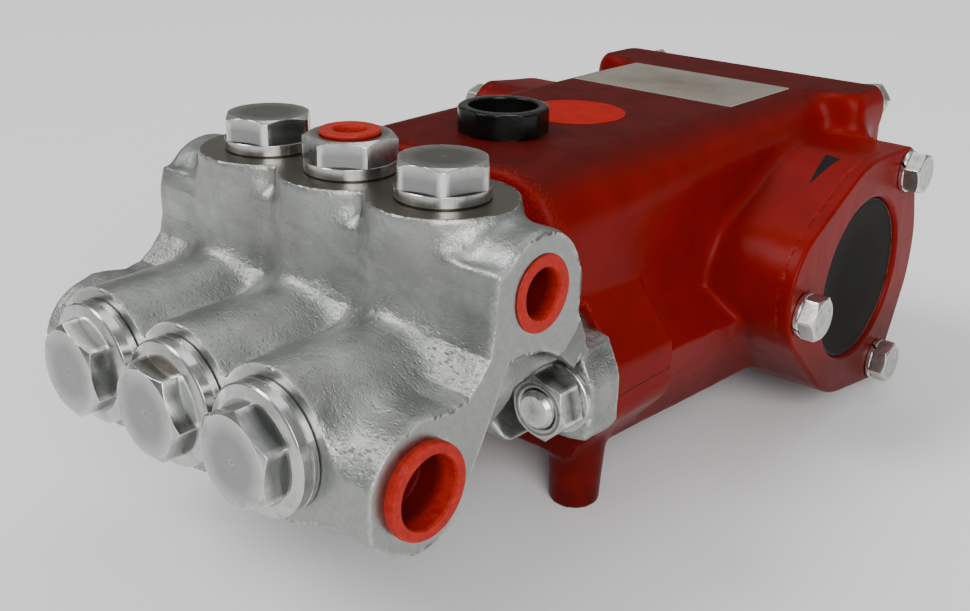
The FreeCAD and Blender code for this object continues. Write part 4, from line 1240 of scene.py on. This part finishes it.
def make_materials():
    M = {}
    M["cast"] = mat_cast()
    M["paint"] = mat_paint("paint_red")
    M["paint_arrow"] = mat_paint("paint_red_case", True)
    M["turned"] = turned("turned_plug", (0.235, 0.243, 0.234), (0.300, 0.309, 0.297), 0.25)
    M["washer"] = turned("turned_washer", (0.40, 0.40, 0.385), (0.52, 0.52, 0.50), 0.34, 0.014)
    M["shaft"] = turned("ground_shaft", (0.48, 0.48, 0.475), (0.60, 0.60, 0.595), 0.22, 0.006)
    M["zinc"] = mat_zinc("zinc_screw", (0.40, 0.41, 0.40), (0.53, 0.53, 0.50))
    M["nut"] = mat_zinc("plated_nut", (0.100, 0.103, 0.092), (0.155, 0.158, 0.142), 0.42)
    M["stud"] = mat_zinc("plated_stud", (0.27, 0.27, 0.258), (0.38, 0.38, 0.36), 0.30)
    # the last colour of the red cap is painted shade deep inside it
    M["cap"] = mat_plastic("cap_red", (0.27, 0.0085, 0.0060), (0.33, 0.0125, 0.0088), 0.40, (0.50, 0.036, 0.019), 0.0, 0.016, 0.10, (0.075, 0.0018, 0.0010))
    M["black"] = mat_plastic("cap_black", (0.0030, 0.0029, 0.0027), (0.0060, 0.0055, 0.0050), 0.20, (0.045, 0.038, 0.032), 0.0, 0.02, 0.22)
    M["glass"] = mat_disc()
    M["rubber"] = mat_plastic("seal_black", (0.012, 0.012, 0.012), (0.022, 0.022, 0.021), 0.55, (0.05, 0.05, 0.05), 0.0, 0.02)
    M["sticker"] = mat_plastic("disc_red", (0.31, 0.0050, 0.0022), (0.37, 0.0080, 0.0035), 0.50, (0.45, 0.04, 0.025), 0.0, 0.008, 0.05)
    M["plate"] = mat_plate()
    return M


# --------------------------------------------------------------------- assembly
M = make_materials()


def face_mask(ob, V, Q, test):
    """Marks the machined faces of a casting."""
    c = (V[Q[:, 0]] + V[Q[:, 1]] + V[Q[:, 2]] + V[Q[:, 3]]) / 4
    at = ob.data.attributes.new("mach", "FLOAT", "FACE")
    at.data.foreach_set("value", test(c).astype(np.float32))


def casing_mask(c):
    A = np.abs(c[:, 0])
    m = A > CAS_X - 0.06
    m |= c[:, 2] > TOP_Z - 0.06
    m |= c[:, 1] < 17.06
    m |= c[:, 1] > PLATE_Y1 - 0.06
    m |= (np.abs(c[:, 1] - 138.5) < 0.08) & (np.hypot(A - STUD_X, c[:, 2] - STUD_Z) < 17.0)
    for y, z, r in ((OUT_Y, OUT_Z, 13.6), (IN_Y, IN_Z, 17.0)):
        m |= (np.hypot(c[:, 1] - y, c[:, 2] - z) < r) & (A > 72.0)
    return m


ob, V, Q, FN = field_mesh("casing_body", casing, (-97, 13, -55), (97, 164, 71), 1.25)
face_mask(ob, V, Q, casing_mask)
put(ob, "valve_casing", M["cast"])
ob, V, Q, FN = field_mesh("crankcase_body", crank, (-108, 136, -92), (108, 408, 70), 1.7)
put(ob, "crankcase", M["paint_arrow"])
for side, nm in ((1, "right"), (-1, "left")):
    x0, x1 = sorted((side * 101.0, side * 113.0))
    ob, V, Q, FN = field_mesh("bearing_cover_%s_body" % nm, cover_fn(side), (x0, SHAFT_Y - 80, SHAFT_Z - 80), (x1, SHAFT_Y + 80, SHAFT_Z + 80), 0.9)
    put(ob, "bearing_cover_" + nm, M["paint"])
ob, V, Q, FN = field_mesh("rear_cover_body", rear_fn, (-85, 398, -74), (85, 414, 69), 1.3)
put(ob, "rear_cover", M["paint"])
ob, V, Q, FN = field_mesh("drive_shaft_body", shaft_fn, (-183, SHAFT_Y - 23, SHAFT_Z - 23), (-84, SHAFT_Y + 23, SHAFT_Z + 23), 0.9)
n_ = len(V)
rr = np.hypot(V[:, 1] - SHAFT_Y, V[:, 2] - SHAFT_Z)
for nm, arr in (("axr", rr), ("axz", V[:, 0])):
    at = ob.data.attributes.new(nm, "FLOAT", "POINT")
    at.data.foreach_set("value", arr.astype(np.float32))
put(ob, "drive_shaft", M["shaft"])

for k, i in enumerate((-1, 0, 1)):
    put(suction_plug(k, i), "suction_plug_%d" % (k + 1), M["turned"])
put(top_plug("discharge_plug_1_body", -1, 16.3), "discharge_plug_1", M["turned"])
put(top_plug("discharge_plug_3_body", 1, 12.9), "discharge_plug_3", M["turned"])
put(top_plug("top_port_adaptor_body", 0, 36.9, 8.3), "top_port_adaptor", M["turned"])
for nm, s in (("right", 1), ("left", -1)):
    put(plug_cap("outlet_cap_%s_body" % nm, (s * CAS_X, OUT_Y, OUT_Z), (s, 0, 0), 13.2, 14.2, 0.9, 15.0, 9.1), "outlet_cap_" + nm, M["cap"])
    put(plug_cap("inlet_cap_%s_body" % nm, (s * CAS_X, IN_Y, IN_Z), (s, 0, 0), 16.6, 17.1, 4.2, 14.0, 12.7), "inlet_cap_" + nm, M["cap"])
    put(stud_nut(s), "stud_nut_" + nm, M["nut"])
    put(stud_washer(s), "stud_washer_" + nm, M["washer"])
    put(stud(s), "stud_" + nm, M["stud"])
    for k, (cy, cz) in enumerate(BOLTS[s]):
        put(screw("bearing_bolt_%s_%d_body" % (nm, k + 1), (s * 110.0, cy, cz), (s, 0, 0), (12.0, 29.0, 46.0)[k], (150.0, 205.0, 120.0)[k], 25.9, 19.0, 7.8, 10.3,
                  marks=k + (3 if s > 0 else 0)),
            "bearing_bolt_%s_%d" % (nm, k + 1), M["zinc"])
put(plug_cap("top_port_cap_body", (0.0, TOP_Y, TOP_Z + 14.4), (0, 0, 1), 8.3, 11.9, 1.6, 9.0, 6.2), "top_port_cap", M["cap"])
for k, (bx, bz) in enumerate(REAR_BOLTS):
    put(screw("rear_cover_bolt_%d_body" % (k + 1), (bx, 410.0, bz), (0, 1, 0), 10.0 + 13 * k, 60.0 + 70 * k, 26.0, marks=k + 8),
        "rear_cover_bolt_%d" % (k + 1), M["zinc"])
ob, V, Q, FN = field_mesh("oil_filler_cap_body", filler_cap(), (-22, FILL_Y - 22, 50), (22, FILL_Y + 22, 80), 0.7)
put(ob, "oil_filler_cap", M["black"])
put(seal_ring(), "shaft_seal", M["rubber"])
put(glass_disc(), "sight_glass", M["glass"])
put(plate_mesh("name_plate_body", -47.5, 47.5, 300.0, 360.0, 65.5, 66.0, 1.2), "name_plate", M["plate"])
frd = frame_of((0.0, 238.0, TOP_PLANE), (0, 0, 1))
put(build("round_sticker_body", [lathe(frd, [(24.0, 0.0, 0), (24.0, 0.22, 0.4), (23.9, 0.3, 0.8), (23.5, 0.3, 0), (12.0, 0.3, 0)], 96)]), "round_sticker", M["sticker"])


# ------------------------------------------------------------ stage and camera
def add_light(name, kind, loc, aim, energy, size=1.0, size_y=None, color=(1, 1, 1)):
    li = bpy.data.lights.new(name, kind)
    li.energy = energy
    li.color = color
    if kind == "AREA":
        li.shape = "RECTANGLE"
        li.size = size
        li.size_y = size_y or size
    ob = bpy.data.objects.new(name, li)
    ob.location = loc
    ob.rotation_euler = (Vector(aim) - Vector(loc)).to_track_quat("-Z", "Y").to_euler()
    bpy.context.scene.collection.objects.link(ob)
    return ob


def stage_setup():
    me = bpy.data.meshes.new("floor")
    s = 14.0
    me.from_pydata([(-s, -s, 0), (s, -s, 0), (s, s, 0), (-s, s, 0)], [], [(0, 1, 2, 3)])
    fl = bpy.data.objects.new("floor", me)
    bpy.context.scene.collection.objects.link(fl)
    m = bpy.data.materials.new("floor_pale")
    m.use_nodes = True
    b = m.node_tree.nodes["Principled BSDF"]
    b.inputs["Base Color"].default_value = (0.93, 0.93, 0.93, 1)
    b.inputs["Roughness"].default_value = 0.7
    b.inputs["Specular IOR Level"].default_value = 0.2
    me.materials.append(m)
    w = bpy.data.worlds.new("studio")
    bpy.context.scene.world = w
    w.use_nodes = True
    nt = w.node_tree
    bg = nt.nodes["Background"]
    tc = nt.nodes.new("ShaderNodeTexCoord")
    sep = nt.nodes.new("ShaderNodeSeparateXYZ")
    ramp = nt.nodes.new("ShaderNodeValToRGB")
    nt.links.new(tc.outputs["Generated"], sep.inputs[0])
    nt.links.new(sep.outputs["Z"], ramp.inputs[0])
    nt.links.new(ramp.outputs[0], bg.inputs["Color"])
    ramp.color_ramp.elements[0].position = 0.0
    ramp.color_ramp.elements[0].color = (0.24, 0.235, 0.23, 1)
    ramp.color_ramp.elements[1].position = 0.9
    ramp.color_ramp.elements[1].color = (0.50, 0.51, 0.52, 1)
    e = ramp.color_ramp.elements.new(0.35)
    e.color = (0.33, 0.33, 0.325, 1)
    bg.inputs["Strength"].default_value = 1.0
    # two broad, distant lights keep the floor even; the small ones only model the metal
    for name, loc, power, spread in (("left", (-0.9, -1.0, 1.5), 1.7, 26.0), ("right", (1.3, -0.9, 0.75), 2.1, 36.0)):
        ob = add_light(name, "SUN", loc, (0, 0, 0), power)
        ob.data.angle = math.radians(spread)
    add_light("strip", "AREA", (0.9, -1.1, 0.9), (0.05, -0.1, 0.08), 4, 0.5, 0.8)
    add_light("top", "AREA", (-0.2, 0.5, 1.6), (0, 0, 0.05), 4, 1.2, 0.8)


def camera_setup():
    yaw, pitch, roll = math.radians(40.16), math.radians(21.5), math.radians(1.26)
    d = Vector((-math.sin(yaw) * math.cos(pitch), math.cos(yaw) * math.cos(pitch), -math.sin(pitch)))
    r = Vector((math.cos(yaw), math.sin(yaw), 0))
    u = r.cross(d)
    r2 = r * math.cos(roll) + u * math.sin(roll)
    u2 = -r * math.sin(roll) + u * math.cos(roll)
    cam = bpy.data.cameras.new("camera")
    cam.sensor_width = 36.0
    cam.sensor_fit = "HORIZONTAL"
    cam.lens = 1156.41 * 36.0 / 970.0
    cam.shift_x = (485.0 - 494.52) / 970.0
    cam.shift_y = (282.93 - 305.5) / 970.0
    cam.clip_start, cam.clip_end = 0.01, 50.0
    ob = bpy.data.objects.new("camera", cam)
    M = Matrix((r2, u2, -d)).transposed().to_4x4()
    M.translation = Vector((0.315296, -0.461077, 0.276034))
    ob.matrix_world = M
    bpy.context.scene.collection.objects.link(ob)
    bpy.context.scene.camera = ob


stage_setup()
camera_setup()
